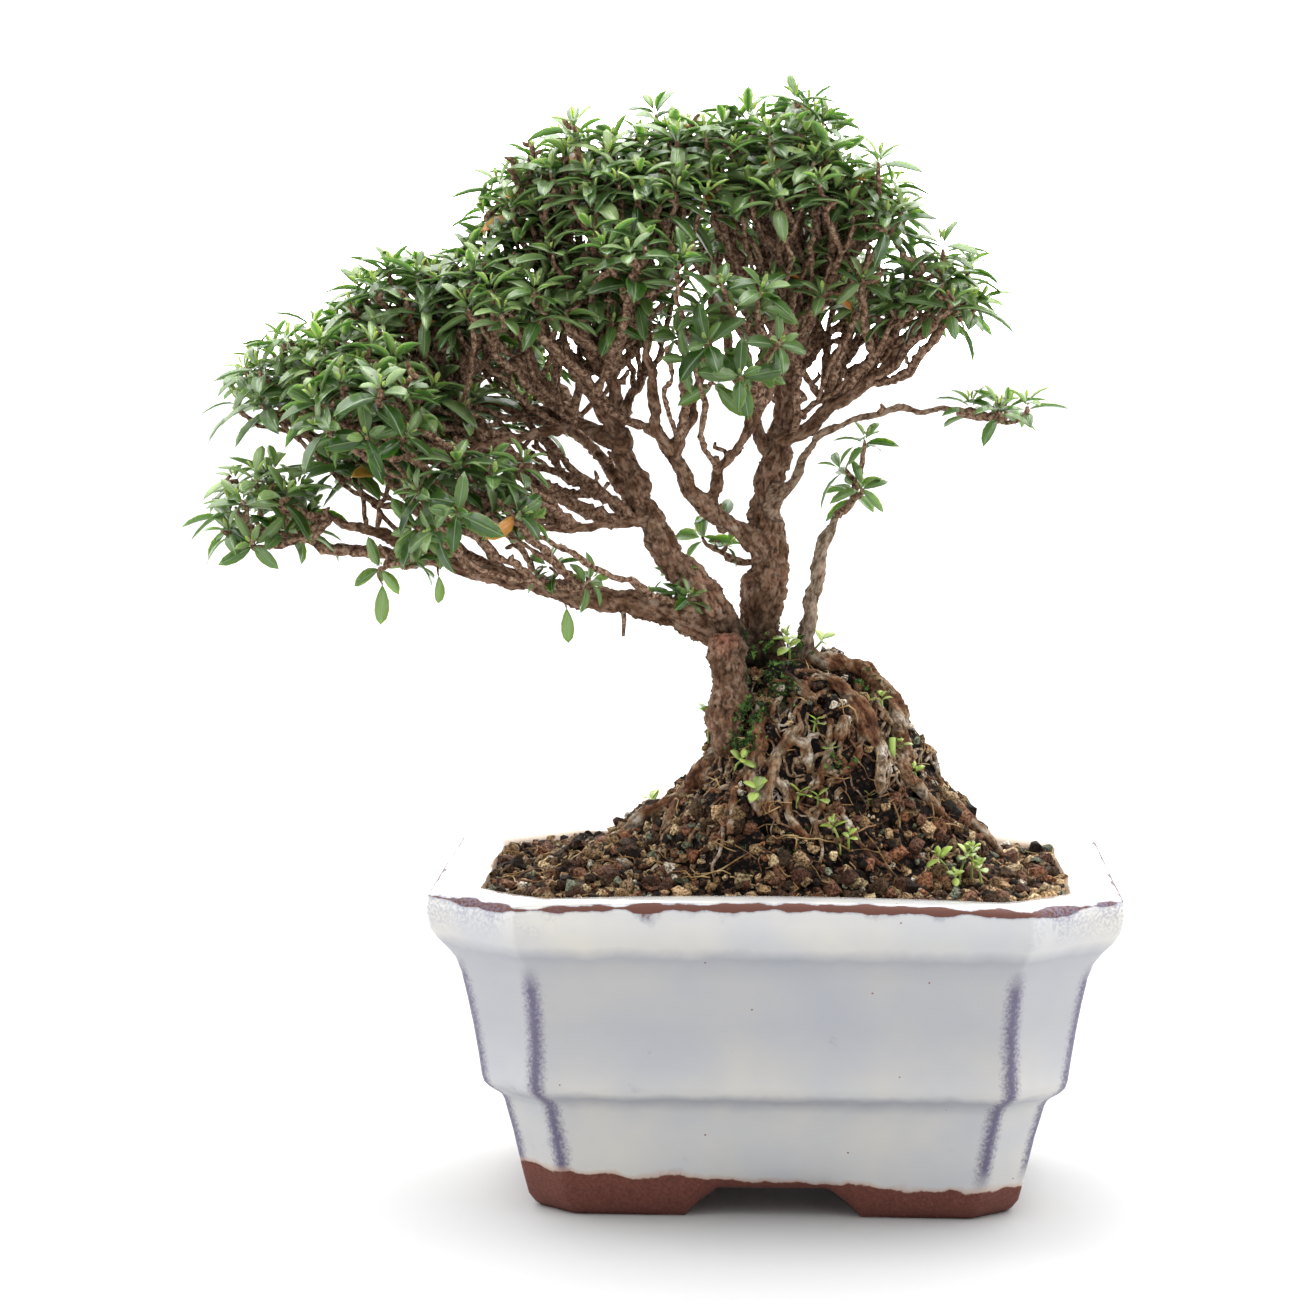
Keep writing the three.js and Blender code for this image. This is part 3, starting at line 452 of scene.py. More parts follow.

# %% [markdown]
# ## The soil
#
# Bonsai soil is sifted grit: fired clay, pumice and lava in grains of 2 to 8 mm, with dark humus between
# them. The humus is painted nearly black, so that it also stands for the shade in the gaps between the
# grains.
# The imported solid gives the bed and the mound. A merged copy of it is divided and pushed about for
# the humus: small lumps everywhere, larger crags on the mound, and two low heaps where the bed was topped
# up. Separate stones are strewn over it further on, because real grit casts real shadows and a painted
# pattern can't.

# %% The humus
SOIL_SKIN = 70  # above this height the soil lies open
OPEN_SLOPE, GRIT_SLOPE = 0.05, 0.1  # least upward share of a normal: of open soil, and for grit to lie on it
LUMP_SCALE, LUMP_RISE = 0.35, 1.2
CRAG_SCALE, CRAG_RISE, CRAG_FROM, CRAG_FADE = 0.13, 2.6, 84, 12  # crags fade in over 12 mm of height
CRAG_START = Vector((4, 0, 0))  # a part of the noise that the lumps don't use
SUNK = 0.3  # the humus lies this far under the solid's skin
HEAPS = [(-38, -12, 13, 19, 5.5), (49, -8, 10, 18, 3.5)]  # middle, reach across and deep, height
PINCH_FROM, PINCH_TO, PINCH_MIDDLE, PINCH_SHARE = 86, 102, -8, 0.5


def pinch(at):
    """Draws the left of the mound in under the stump, as rain and roots have left it."""
    share = clamp((at.z - PINCH_FROM) / (PINCH_TO - PINCH_FROM))
    if at.x < PINCH_MIDDLE:
        at.x = PINCH_MIDDLE + (at.x - PINCH_MIDDLE) * (1 - share * (1 - PINCH_SHARE))


humus = bmesh.new()
humus.from_mesh(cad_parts["soil"].data)
bmesh.ops.translate(humus, vec=-POT_MIDDLE, verts=humus.verts)
bmesh.ops.scale(humus, vec=(1 / MM, 1 / MM, 1 / MM), verts=humus.verts)
bmesh.ops.remove_doubles(humus, verts=humus.verts, dist=0.01)
open_faces = [f for f in humus.faces if f.normal.z > OPEN_SLOPE and f.calc_center_median().z > SOIL_SKIN]
open_edges = list(dict.fromkeys(e for f in open_faces for e in f.edges))
bmesh.ops.subdivide_edges(humus, edges=open_edges, cuts=3, use_grid_fill=True)
bmesh.ops.triangulate(humus, faces=humus.faces)
humus.normal_update()
skin_verts = [v for v in humus.verts
              if v.co.z > SOIL_SKIN and all(f.normal.z > OPEN_SLOPE for f in v.link_faces)]
relax(humus, skin_verts, 4)
for vert in humus.verts:
    pinch(vert.co)
humus.normal_update()
for vert in skin_verts:
    lump = noise.fractal(vert.co * LUMP_SCALE, 1.0, 2.0, 4)
    crag = noise.fractal(vert.co * CRAG_SCALE + CRAG_START, 1.0, 2.0, 2)
    crag *= clamp((vert.co.z - CRAG_FROM) / CRAG_FADE)
    heap = sum(high * math.exp(-((vert.co.x - x) / wide) ** 2 - ((vert.co.y - y) / deep) ** 2)
               for x, y, wide, deep, high in HEAPS)
    vert.co += vert.normal * (lump * LUMP_RISE + crag * CRAG_RISE - SUNK) + Vector((0, 0, heap))
humus.normal_update()
shade_smooth(humus)
ground = BVHTree.FromBMesh(humus)
ground_faces = [(f.calc_area(), [v.co.copy() for v in f.verts], f.normal.copy())
                for f in humus.faces if f.normal.z > GRIT_SLOPE and f.calc_center_median().z > SOIL_SKIN]
print("open soil", round(sum(f[0] for f in ground_faces)), "square mm")


# %% Humus finish
def humus_with_gap_shade(tree, place):
    """Composted bark and peat, rough, with brown crumbs: nearly black, partly its own colour and partly
    painted shade for the gaps between the grains.
    """
    crumbs = add(tree, "TexNoise", {"Vector": place, "Scale": 1 / 1.3, "Detail": 8, "Roughness": 0.62})
    # painted shade: these stops are darker than peat, so the humus also stands for the shade between the
    # grains
    colour = add(tree, "ValToRGB", [crumbs], stops=[
        (0.42, "#040302"), (0.51, "#0f0906"), (0.57, "#36241a"), (0.65, "#7c5d45")])
    bump = add(tree, "Bump", {"Height": crumbs, "Distance": 1.2 * MM, "Strength": 1.0})
    return {"Base Color": colour, "Normal": bump, "Roughness": 0.85, "Specular IOR Level": PITTED_GLOSS}


finish_piece(humus, "humus", make_material(humus_with_gap_shade), ["soil"])

# %% [markdown]
# ## The wood
#
# Roots, stump, trunks and limbs grew as one. The lines that the solids follow are repeated here, each one a
# handful of points from its base to its tip with the radius at both ends. Every line becomes a tube that
# wanders a little. A voxel Remesh then melts the overlapping tubes into one skin, as wood grows together in
# a fork, and noise along the surface raises the knots and flakes of old bark. Its depth follows the radius
# of the nearest line, and its pattern is drawn out along the grain.
#
# The roots are laid on the humus and stand out of it by about half their radius. Thinner ones and a few
# knobs lie on the front of the mound, where they are given only by how they look from there.

# %% The lines of the wood
TRUNKS = {
    "core": (5.5, 4.5, [(-1, 3, 99), (-2, 3, 113), (-3, 3, 125), (-4, 3, 135)]),
    "trunk_right": (6, 3.3, [(-3, 2, 119), (-4, 2, 135), (-2, 3, 149), (-3, 4, 162), (-1, 5, 174),
                             (2, 4, 182)]),
    "trunk_left": (4.4, 2.4, [(-7, -3, 125), (-13, -7, 136), (-18, -9, 145), (-27, -10, 155),
                              (-33, -7, 168), (-38, -5, 183)]),
    "stump": (4.3, 4.0, [(-12.3, -15.5, 134.5), (-11, -17, 128.5), (-11, -17.5, 121), (-11.8, -17.5, 114),
                         (-12.3, -16.5, 106)]),
}
LIMBS = {
    "leader": (2.6, 1.3, [(2, 4, 181), (3, 6, 193), (6, 6, 205), (5, 4, 222), (4, 2, 234)]),
    "top_mid": (2, 1.2, [(-1, 5, 173), (-6, 8, 184), (-10, 10, 195), (-15, 10, 210), (-18, 8, 221)]),
    "right_up": (1.9, 1.1, [(3, 6, 192), (5, 0, 203), (9, -2, 213), (13, -4, 220)]),
    "back_right": (2, 1.2, [(-1, 6, 174), (0, 14, 186), (0, 24, 200), (-3, 32, 213)]),
    "crown_left": (2.3, 1.2, [(-38, -5, 183), (-40, -6, 195), (-42, -6, 206), (-45, -3, 218)]),
    "peak_left": (1.8, 1.1, [(-40, -6, 193), (-46, -3, 203), (-54, 0, 215)]),
    "mid_left": (2.4, 1.1, [(-37, -6, 178), (-50, 1, 184), (-63, 3, 187), (-79, 1, 189), (-90, -2, 190),
                            (-98, -4, 190)]),
    "back_left": (2.6, 1.2, [(-29, -9, 158), (-37, 4, 168), (-46, 16, 177), (-57, 26, 185)]),
    "front_left": (1.8, 1, [(-47, 0, 183), (-58, -12, 181), (-70, -23, 178), (-80, -30, 178)]),
    "low_left": (4.3, 1.3, [(-10, -5, 132), (-17, -8, 135), (-27, -12, 140), (-48, -18, 144),
                            (-67, -22, 149), (-79, -24, 153), (-92, -26, 159), (-103, -25, 162)]),
    "low_front": (1.6, 1, [(-31, -9, 161), (-40, -15, 160), (-50, -22, 160), (-58, -29, 160)]),
    "cross": (3, 1.2, [(-3, 3, 153), (-13, -2, 161), (-21, -8, 169), (-27, -13, 181), (-29, -20, 194),
                       (-30, -25, 204)]),
    "cross_up": (1.9, 1, [(-15, -3, 164), (-14, -5, 172), (-9, -9, 179), (-6, -16, 187)]),
    "right": (2.4, 1.1, [(1, 4, 179), (10, 2, 184), (16, 0, 189), (24, -2, 196), (32, -4, 203)]),
    "right_back": (1.5, 1, [(11, 2, 185), (14, 8, 194), (17, 14, 202)]),
    "heart_up": (1.9, 1.1, [(-24, -11, 176), (-20, -9, 188), (-17, -8, 200), (-15, -7, 213)]),
    "heart_left": (1.8, 1.1, [(-38, -5, 181), (-44, -10, 192), (-49, -15, 203)]),
    "mid_up": (1.7, 1.0, [(-52, 1, 185), (-57, -4, 196), (-61, -8, 207)]),
    "mid_back": (1.7, 1.0, [(-38, -4, 184), (-32, 4, 195), (-31, 8, 208)]),
    "drop_up": (1.6, 1.0, [(-9, -9, 179), (-3, -13, 190), (1, -14, 202), (3, -13, 215)]),
    "shoulder_up": (1.5, 1.0, [(-76, 1, 189), (-80, -4, 198)]),
    "long_right": (1.5, 0.9, [(-1, 3, 163), (4, -4, 171), (8, -9, 178), (15, -13, 184), (26, -15, 187),
                              (42, -16, 187)]),
    "stem_right": (2.5, 1.9, [(4, -3, 121), (6.5, -4, 133), (8.8, -5, 145), (11.5, -6, 156), (14, -6, 162)]),
}
ROOTS = {
    "left": (2.6, 1.5, [(-13, -9, 112), (-17.5, -10, 106), (-21.3, -10, 101), (-24.5, -9.5, 97),
                        (-28, -9, 94), (-32, -8, 89), (-38, -5, 83)]),
    "ridge": (2.9, 1.7, [(0, -1, 125.5), (12, -4, 127), (21, -6, 124), (27, -8, 117), (30, -12, 106),
                         (30, -10, 95)]),
    "right": (2.2, 1.2, [(27, 2, 116), (34, 2, 103), (40, 0, 94), (49, -3, 87), (54, -4, 80)]),
    "back": (2.8, 1.4, [(-3, 10, 125), (-6, 22, 112), (-9, 30, 99), (-12, 38, 87), (-13, 34, 80)]),
    "back_right": (2.6, 1.4, [(8, 10, 126), (22, 20, 116), (29, 27, 103), (35, 33, 89), (36, 29, 82)]),
    "back_left": (2.4, 1.4, [(-8, 6, 121), (-20, 13, 108), (-27, 19, 97), (-34, 26, 85), (-36, 24, 78)]),
}
FACE_ROOTS = {  # these lie on the front of the mound: across and height only
    "loop": (1.6, 1.3, [(2.5, 118), (-2.6, 116), (-4.5, 112), (-2.8, 109), (-5.9, 105), (-5.2, 100),
                        (-3, 94)]),
    "fork": (1.5, 1.0, [(6.2, 114.6), (3.1, 111.7), (2.5, 109.6), (0.3, 107), (-0.5, 103), (-1.9, 99),
                        (1, 92)]),
    "arch": (1.3, 1.0, [(2.6, 109), (4.5, 110.6), (6.5, 110.1), (8.1, 106.9), (8, 103)]),
    "hook": (1.1, 1.0, [(20, 111), (19.4, 108), (18.2, 105.3), (16, 103.5), (13.2, 103.5), (13, 106)]),
    "strand": (1.6, 1.4, [(10, 124.5), (14.4, 122.9), (17.2, 120.2), (20.6, 118.1), (22.2, 114.9),
                          (23.9, 111)]),
    "strand_low": (1.5, 1.2, [(17, 119), (19, 116), (20, 113.8), (22.8, 110.6), (25, 107), (24.4, 103),
                              (24, 98)]),
    "brow": (1.4, 1.3, [(-3.3, 131), (-1, 130), (0.2, 126), (3.6, 123.4), (7.3, 121), (10, 119.5)]),
    "edge": (1.7, 1.2, [(27, 118), (28.4, 112.7), (30, 108.5), (30, 104), (31.6, 100.6), (35, 97),
                        (41, 90)]),
    "twin": (1.5, 1.0, [(-16, 105), (-18.5, 101), (-21, 97), (-24, 92.5), (-27, 88)]),
    "toe": (0.9, 0.7, [(16, 94), (18.2, 90.8), (20.9, 86), (24.8, 83), (28, 81.5)]),
    "toe_left": (0.9, 0.6, [(9, 95), (9.6, 92), (9, 88)]),
    "low_fork": (1.1, 0.8, [(-0.4, 103), (3, 98), (4, 93), (8, 89)]),
    "hang": (1.2, 0.8, [(12, 111), (13, 107), (10.5, 102), (11, 97), (9, 93)]),
}
LUMPS = [  # knobs of root and cemented grit on the front of the mound: across, height, radius
    (16, 114.5, 2.4), (15, 112, 2), (0.3, 114, 1.7), (-2.5, 105.4, 1.5), (2.6, 100.6, 1.6),
    (9.8, 100.6, 1.3), (-3.2, 128, 2.3), (12.7, 122.3, 1.8), (19.4, 121.8, 1.9), (22, 119, 1.6),
    (24.5, 104, 1.7), (5, 106, 1.4),
]
tube_mesh = bpy.data.meshes.new("tube")  # carries each tube from its own bmesh to the one it joins


def smooth_line(points, step):
    """A Catmull-Rom line through the points, cut into about `step` mm."""
    points = [Vector(p) for p in points]
    ends = [points[0] * 2 - points[1]] + points + [points[-1] * 2 - points[-2]]
    line = []
    for a, b, c, d in zip(ends, ends[1:], ends[2:], ends[3:]):
        pieces = max(1, round((c - b).length / step))
        for k in range(pieces):
            t = k / pieces
            line.append(0.5 * (2 * b + (c - a) * t + (2 * a - 5 * b + 4 * c - d) * t ** 2
                               + (3 * b - a - 3 * c + d) * t ** 3))
    return line + [points[-1]]


def tube(bm, line, radii, sides):
    """Adds a closed tube along a line to bm. It is made in a small bmesh of its own, which is quicker."""
    small = bmesh.new()
    ring = bmesh.ops.create_circle(small, segments=sides, radius=1, cap_ends=True)["verts"]
    shape = [v.co.copy() for v in ring]
    edges = list(small.edges)
    axis, turn = UP.copy(), Quaternion()
    for index, (at, radius) in enumerate(zip(line, radii)):
        ahead = line[min(index + 1, len(line) - 1)] - line[max(index - 1, 0)]
        turn = axis.rotation_difference(ahead) @ turn
        axis = ahead.normalized()
        if index:
            ring, edges = extrude_ring(small, edges)
        for vert, corner in zip(ring, shape):
            vert.co = at + turn @ corner * radius
    bmesh.ops.edgeloop_fill(small, edges=edges)
    bmesh.ops.recalc_face_normals(small, faces=small.faces)
    shade_smooth(small)
    small.to_mesh(tube_mesh)
    small.free()
    bm.from_mesh(tube_mesh)


# %% Melting the wood into one skin
WOOD_VOXEL = 0.62
LINE_STEP = 2
ROUNDED_END, END_SHARE = 3, 0.55  # over its last 3 mm a tube narrows to this share of its radius
SWELL, SWELL_SCALE = 0.3, 0.35  # how much and how often its radius varies
WANDER, WANDER_SCALE, END_WANDER = 1.3, 0.2, 0.3  # how far and how often its line strays, and at its ends
ROOT_PROUD = 0.45  # how far a root stands out of the soil, as a share of its radius
ROOT_SLACK, RIDGE_SLACK = 0.8, 2.5  # how much further out a root may stay as it was drawn
YOUNG_WOOD = {"stem_right": 1.0, "long_right": 0.5}  # smooth and pale still
LIMB_SHARE = 0.86  # the bark that is raised later brings a limb back to its full radius
FACE_SHARE, FACE_PROUD, FACE_WANDER = 1.15, 0.6, 0.7  # for roots on the face: radius, how far out, straying
LUMP_LENGTH = 0.8  # half a knob's length, as a share of its radius
BEFORE_POT, BEFORE_MOUND = -90, -14  # y of a place in front of everything, and before the mound's top
line_points = []  # place, radius, 1 for a root, direction, 1 for young wood
wood = bmesh.new()


def on_face(across, height, proud=0.0):
    """The place on the front of the mound at this width and height, moved out of it by `proud`."""
    hit = ground.ray_cast(Vector((across, BEFORE_POT, height)), Vector((0, 1, 0)))[0]
    if hit is None:
        hit = ground.find_nearest(Vector((across, BEFORE_MOUND, height)))[0]
    return hit - Vector((0, proud, 0))


def add_line(line, base, tip, is_root=0, share=1.0, wander=WANDER, is_young=0):
    """Makes a tube of a line, less straight and less even than it was drawn."""
    last = len(line) - 1
    strayed = [p + noise.noise_vector(p * WANDER_SCALE) * (wander if 0 < i < last else END_WANDER)
               for i, p in enumerate(line)]
    radii = []
    for i, p in enumerate(strayed):
        from_end = min(i, last - i) * LINE_STEP
        rounded = min(1, END_SHARE + (1 - END_SHARE) * from_end / ROUNDED_END)
        drawn = (base + (tip - base) * i / last) * share
        radii.append(drawn * rounded * (1 + SWELL * noise.noise(p * SWELL_SCALE)))
    tube(wood, strayed, radii, sides=12)
    ahead = (line[-1] - line[0]).normalized()
    line_points.extend((p, r, is_root, ahead, is_young) for p, r in zip(strayed, radii))


for base, tip, points in TRUNKS.values():
    add_line(smooth_line(points, LINE_STEP), base, tip)
for name, (base, tip, points) in LIMBS.items():
    add_line(smooth_line(points, LINE_STEP), base, tip, share=LIMB_SHARE, is_young=YOUNG_WOOD.get(name, 0))
for name, (base, tip, points) in ROOTS.items():
    line = smooth_line(points, LINE_STEP)
    slack = RIDGE_SLACK if name == "ridge" else ROOT_SLACK
    for at in line:
        pinch(at)
        skin, normal, _, _ = ground.find_nearest(at)
        out = (at - skin).dot(normal)
        wanted = min(max(out, base * ROOT_PROUD), base * ROOT_PROUD + slack)
        at += normal * (wanted - out)
    add_line(line, base, tip, is_root=1)
for base, tip, points in FACE_ROOTS.values():
    line = smooth_line([on_face(x, z, base * FACE_PROUD) for x, z in points], LINE_STEP)
    add_line(line, base, tip, 1, FACE_SHARE, FACE_WANDER)
for across, height, radius in LUMPS:
    at = on_face(across, height)
    knob = [at - UP * radius * LUMP_LENGTH, at, at + UP * radius * LUMP_LENGTH]
    add_line(knob, radius, radius, 1, wander=END_WANDER)
rough_wood = new_object("rough_wood", mesh_from(wood, "rough_wood"))
melt = rough_wood.modifiers.new("melt", "REMESH")
melt.mode = "VOXEL"
melt.voxel_size = WOOD_VOXEL
depsgraph = bpy.context.evaluated_depsgraph_get()
melted = bpy.data.meshes.new_from_object(rough_wood.evaluated_get(depsgraph))
bpy.data.objects.remove(rough_wood)
wood = bmesh.new()
wood.from_mesh(melted)
relax(wood, wood.verts, 2)
wood.normal_update()
print("skin of the wood", len(wood.faces), "faces")

# %% Old bark
STUMP_END, CUT_REACH = Vector((-12.3, -19, 135)), 6  # the healed cut on top of the stump
CLEFT_SHADE_AT, CLEFT_SHADE_REACH = Vector((-3, -9, 125)), 16  # painted shade: bark darkened nearly black in the cleft between the stump and the trunks
CLEFT_SHADE_TALL = 0.7  # heights count for this much there, so the painted shade reaches further up and down than across
GRAIN_STRETCH = 0.55  # the pattern of flakes is drawn out along the grain
KNOT_SCALE, KNOT_RISE = 0.28, 0.18  # rises of knots and flakes are shares of the wood's radius
KNOT_START = Vector((9, 0, 0))  # a part of the noise that the flakes don't use
FLAKE_SCALE, FLAKE_RISE, FLAKE_MOST = 0.8, 0.19, 0.75  # the last one in mm, for the thick trunks
nearest_line = kdtree.KDTree(len(line_points))
for index, (at, *_) in enumerate(line_points):
    nearest_line.insert(at, index)
nearest_line.balance()
bark_marks = wood.verts.layers.float_color.new("bark_marks")
young = wood.verts.layers.float.new("young")
grain = wood.verts.layers.float_vector.new("grain")
for vert in wood.verts:
    _, index, _ = nearest_line.find(vert.co)
    _, radius, is_root, ahead, vert[young] = line_points[index]
    at = vert.co
    drawn_out = at - ahead * at.dot(ahead) * GRAIN_STRETCH
    knots = noise.fractal(at * KNOT_SCALE + KNOT_START, 1.0, 2.0, 2)
    flakes = 1 - abs(noise.fractal(drawn_out * FLAKE_SCALE, 0.9, 2.1, 4)) * 2.6
    push = knots * radius * KNOT_RISE + (flakes - 0.5) * min(radius * FLAKE_RISE, FLAKE_MOST)
    vert[grain] = drawn_out
    cut_end = max(0, 1 - (at - STUMP_END).length / CUT_REACH)
    from_cleft = at - CLEFT_SHADE_AT
    from_cleft.z *= CLEFT_SHADE_TALL
    vert[bark_marks] = (is_root, clamp(flakes), cut_end, max(0, 1 - from_cleft.length / CLEFT_SHADE_REACH))
    vert.co += vert.normal * push
wood.normal_update()
shade_smooth(wood)


# %% Bark finish
def serissa_bark(tree, place):
    """Grey-tan bark that flakes to pinkish brown, darker in its cracks, partly by its own colour and partly
    as painted shade. Roots are redder and dusted white, young wood is pale and smooth, the old cut is
    pinkish, and the cleft between the stump and the trunks is painted nearly black as shade."""
    marks, _, _, cleft_shade = add(tree, "Attribute", attribute_name="bark_marks", out=slice(4))
    root, flake, cut_end = add(tree, "SeparateColor", [marks])
    along_grain = add(tree, "Attribute", attribute_name="grain", out="Vector")
    patches = add(tree, "TexNoise", {"Vector": place, "Scale": 1 / 5, "Detail": 4})
    scales = add(tree, "TexNoise", {"Vector": along_grain, "Scale": 1 / 1.1, "Detail": 8, "Roughness": 0.68})
    bark = add(tree, "ValToRGB", [patches], stops=[
        (0.32, "#72563f"), (0.44, "#977761"), (0.54, "#ab917c"), (0.62, "#a67f68"), (0.72, "#c0ae9c")])
    root_bark = add(tree, "ValToRGB", [patches], stops=[
        (0.3, "#62402e"), (0.42, "#8f6548"), (0.5, "#a2866a"), (0.58, "#bfae98"), (0.68, "#e6e1d8")])
    old = add(tree, "Mix", {FACTOR: root, A: bark, B: root_bark})
    youth = add(tree, "Attribute", attribute_name="young", out="Fac")
    young_share = add(tree, "Math", [youth, 0.75], operation="MULTIPLY")
    aged = add(tree, "Mix", {FACTOR: young_share, A: old, B: linear("#bdae9b")})
    healed = add(tree, "Mix", {FACTOR: cut_end, A: aged, B: linear("#b57a66")})
    # Cracks and gaps between scales are darker, partly from the darker bark inside them and partly as
    # painted shade in the recesses of the bump and of the sunken flakes.
    crevice_shade = add(tree, "ValToRGB", [scales], stops=[
        (0.33, "#33241b"), (0.42, "#94806f"), (0.49, "#d8ccc0"), (0.6, "#ffffff")])
    scaled = add(tree, "Mix", {FACTOR: 0.92, A: healed, B: crevice_shade}, blend_type="MULTIPLY")
    crack = add(tree, "MapRange", {"Value": flake, "From Min": 0.3, "From Max": 0.0})
    crack_shade_share = add(tree, "Math", [crack, 0.42], operation="MULTIPLY")
    colour = add(tree, "Mix", {FACTOR: crack_shade_share, A: scaled, B: linear("#2e1e15")})
    bump = add(tree, "Bump", {"Height": scales, "Distance": 1.1 * MM, "Strength": 1.0})
    # painted shade: the bark is darkened nearly black around the cleft between the stump and the trunks
    cleft_shade_spread = add(tree, "Math", [patches, 3.5, -0.3], operation="MULTIPLY_ADD")
    cleft_shade_share = add(tree, "Math", [cleft_shade, cleft_shade_spread], operation="MULTIPLY", use_clamp=True)
    overlaid = add(tree, "Mix", {FACTOR: cleft_shade_share, A: colour, B: linear("#211b11")})
    return {"Base Color": overlaid, "Normal": bump, "Roughness": 0.82, "Specular IOR Level": PITTED_GLOSS}


wood_surface = BVHTree.FromBMesh(wood)
bark_finish = make_material(serissa_bark)
finish_piece(wood, "wood_skin", bark_finish, ["wood"])

# %% [markdown]
# ## Strewing copies
#
# A tree has thousands of leaves and a pot has thousands of stones. Each kind is modelled once as a template
# with few faces. To place one, the template is turned and moved, its faces are copied into the big mesh,
# and it is moved back. A colour written on the template before each copy makes every stone or leaf its own.

# %% A template and its copies
def template_mesh(bm, name):
    """Makes a bmesh a template, with room for the colour that each copy gets."""
    mesh = mesh_from(bm, name)
    mesh.color_attributes.new("tint", "FLOAT_COLOR", "POINT")
    return mesh


def strew(bm, template, matrix, tint):
    """Copies the template into bm at a place, in a colour of its own."""
    colours = template.attributes["tint"].data
    colours.foreach_set("color", list(tint) * len(colours))
    template.transform(matrix)
    bm.from_mesh(template)
    template.transform(matrix.inverted())


def turned_to(axis, heading):
    """The turn that brings an axis to a heading, as a matrix to place copies with."""
    return axis.rotation_difference(heading).to_matrix().to_4x4()


def stone_template(seed, corners):
    """A grain about 1 mm across: the hull of points thrown about a ball, so its faces are broken flats."""
    lot = random.Random(seed)
    bm = bmesh.new()
    for _ in range(corners):
        bm.verts.new(toss(lot).normalized() * lot.uniform(0.38, 0.56))
    hull = bmesh.ops.convex_hull(bm, input=bm.verts)
    bmesh.ops.delete(bm, geom=hull["geom_interior"], context="VERTS")
    bmesh.ops.recalc_face_normals(bm, faces=bm.faces)
    return template_mesh(bm, f"stone_{seed}")


# %% Grit over the bed and the mound
STONE_TINTS = [  # colour, how common it is
    ("#84604c", 5), ("#5c4032", 5), ("#c4a985", 5), ("#99805f", 6), ("#d6c29c", 3), ("#8c9684", 1.5),
    ("#6c7463", 1), ("#2a211b", 6), ("#51402f", 7), ("#e2dccf", 1), ("#9a6c50", 2),
]
GRIT_PIECES = 2
GRIT_COUNT = 8800
STEEP_FROM = 96  # above this the mound is too steep for large stones to lie
USUAL_STONE, LARGEST_STONE, STEEP_STONE = 1.7, 5.6, 2.6
CRUMB = 1.5  # smaller grains have fewer faces
FINE_SHARE = 0.55  # every second grain is this much smaller
STEEP_KEPT = 0.5  # share of the grains that stay on the steep part
WOOD_ROOM = 0.4  # a grain keeps this share of its size away from the wood
PUMICE, PUMICE_SHARE = "#d9d2c4", 0.2  # white grains among the stones on the steep part
chance = random.Random(11)
stones = [stone_template(k, 20) for k in range(9)]
crumbs = [stone_template(k, 9) for k in range(9, 13)]
face_weights = [f[0] for f in ground_faces]
tints = [linear(colour) for colour, _ in STONE_TINTS]
tint_weights = [weight for _, weight in STONE_TINTS]
grit = [bmesh.new() for _ in range(GRIT_PIECES)]
for index, face in enumerate(chance.choices(ground_faces, face_weights, k=GRIT_COUNT)):
    _, corners, normal = face
    u, v = sorted((chance.random(), chance.random()))
    at = corners[0] * u + corners[1] * (v - u) + corners[2] * (1 - v)
    steep = at.z > STEEP_FROM
    size = min(USUAL_STONE * math.exp(abs(chance.gauss(0, 0.6))), STEEP_STONE if steep else LARGEST_STONE)
    if index % 2:
        size *= FINE_SHARE
    shape = chance.choice(stones if size > CRUMB else crumbs)
    turn = Quaternion(toss(chance).normalized(), chance.uniform(0, FULL_TURN))
    squash = Matrix.Diagonal((size, size * chance.uniform(0.7, 1), size * chance.uniform(0.6, 0.9), 1))
    sunk = at + normal * size * chance.uniform(-0.05, 0.3)
    if steep and chance.random() < STEEP_KEPT or wood_surface.find_nearest(sunk)[3] < size * WOOD_ROOM:
        continue
    tint = chance.choices(tints, tint_weights)[0]
    if steep and chance.random() < PUMICE_SHARE:
        tint = linear(PUMICE)
    shade = chance.uniform(0.7, 1.6)
    place = Matrix.Translation(sunk) @ turn.to_matrix().to_4x4() @ squash
    strew(grit[index % GRIT_PIECES], shape, place, [c * shade for c in tint[:3]] + [chance.random()])
print("stones strewn over", GRIT_COUNT, "places")


# %% Grit finish
def crushed_grit(tree, place):
    """Fired clay, lava and pumice: dusty, pitted and dull, with painted shade in the pits."""
    tint = add(tree, "Attribute", attribute_name="tint")
    pits = add(tree, "TexNoise", {"Vector": place, "Scale": 1 / 0.6, "Detail": 6, "Roughness": 0.65})
    # painted shade: the tint is darkened where the bump's pits lie deepest
    pit_shade = add(tree, "ValToRGB", [pits],
               stops=[(0.38, "#2a2019"), (0.45, "#857566"), (0.52, "#ddd2c3"), (0.6, "#ffffff")])
    colour = add(tree, "Mix", {FACTOR: 0.9, A: tint, B: pit_shade}, blend_type="MULTIPLY")
    bump = add(tree, "Bump", {"Height": pits, "Distance": 0.8 * MM, "Strength": 1.0})
    return {"Base Color": colour, "Normal": bump, "Roughness": 0.8, "Specular IOR Level": PITTED_GLOSS}


grit_finish = make_material(crushed_grit)
for number, bm in enumerate(grit, 1):
    finish_piece(bm, f"grit_{number}", grit_finish)

# %% [markdown]
# ## Fine roots and straw
#
# Between the thick roots the mound is held by thin ones that follow its skin downhill, one dead root stands
# off it at the front, and bits of straw lie about on the grit. A walker takes short steps, turns a little
# at each one, and is put back on the ground after every step; the line it leaves becomes a tube.

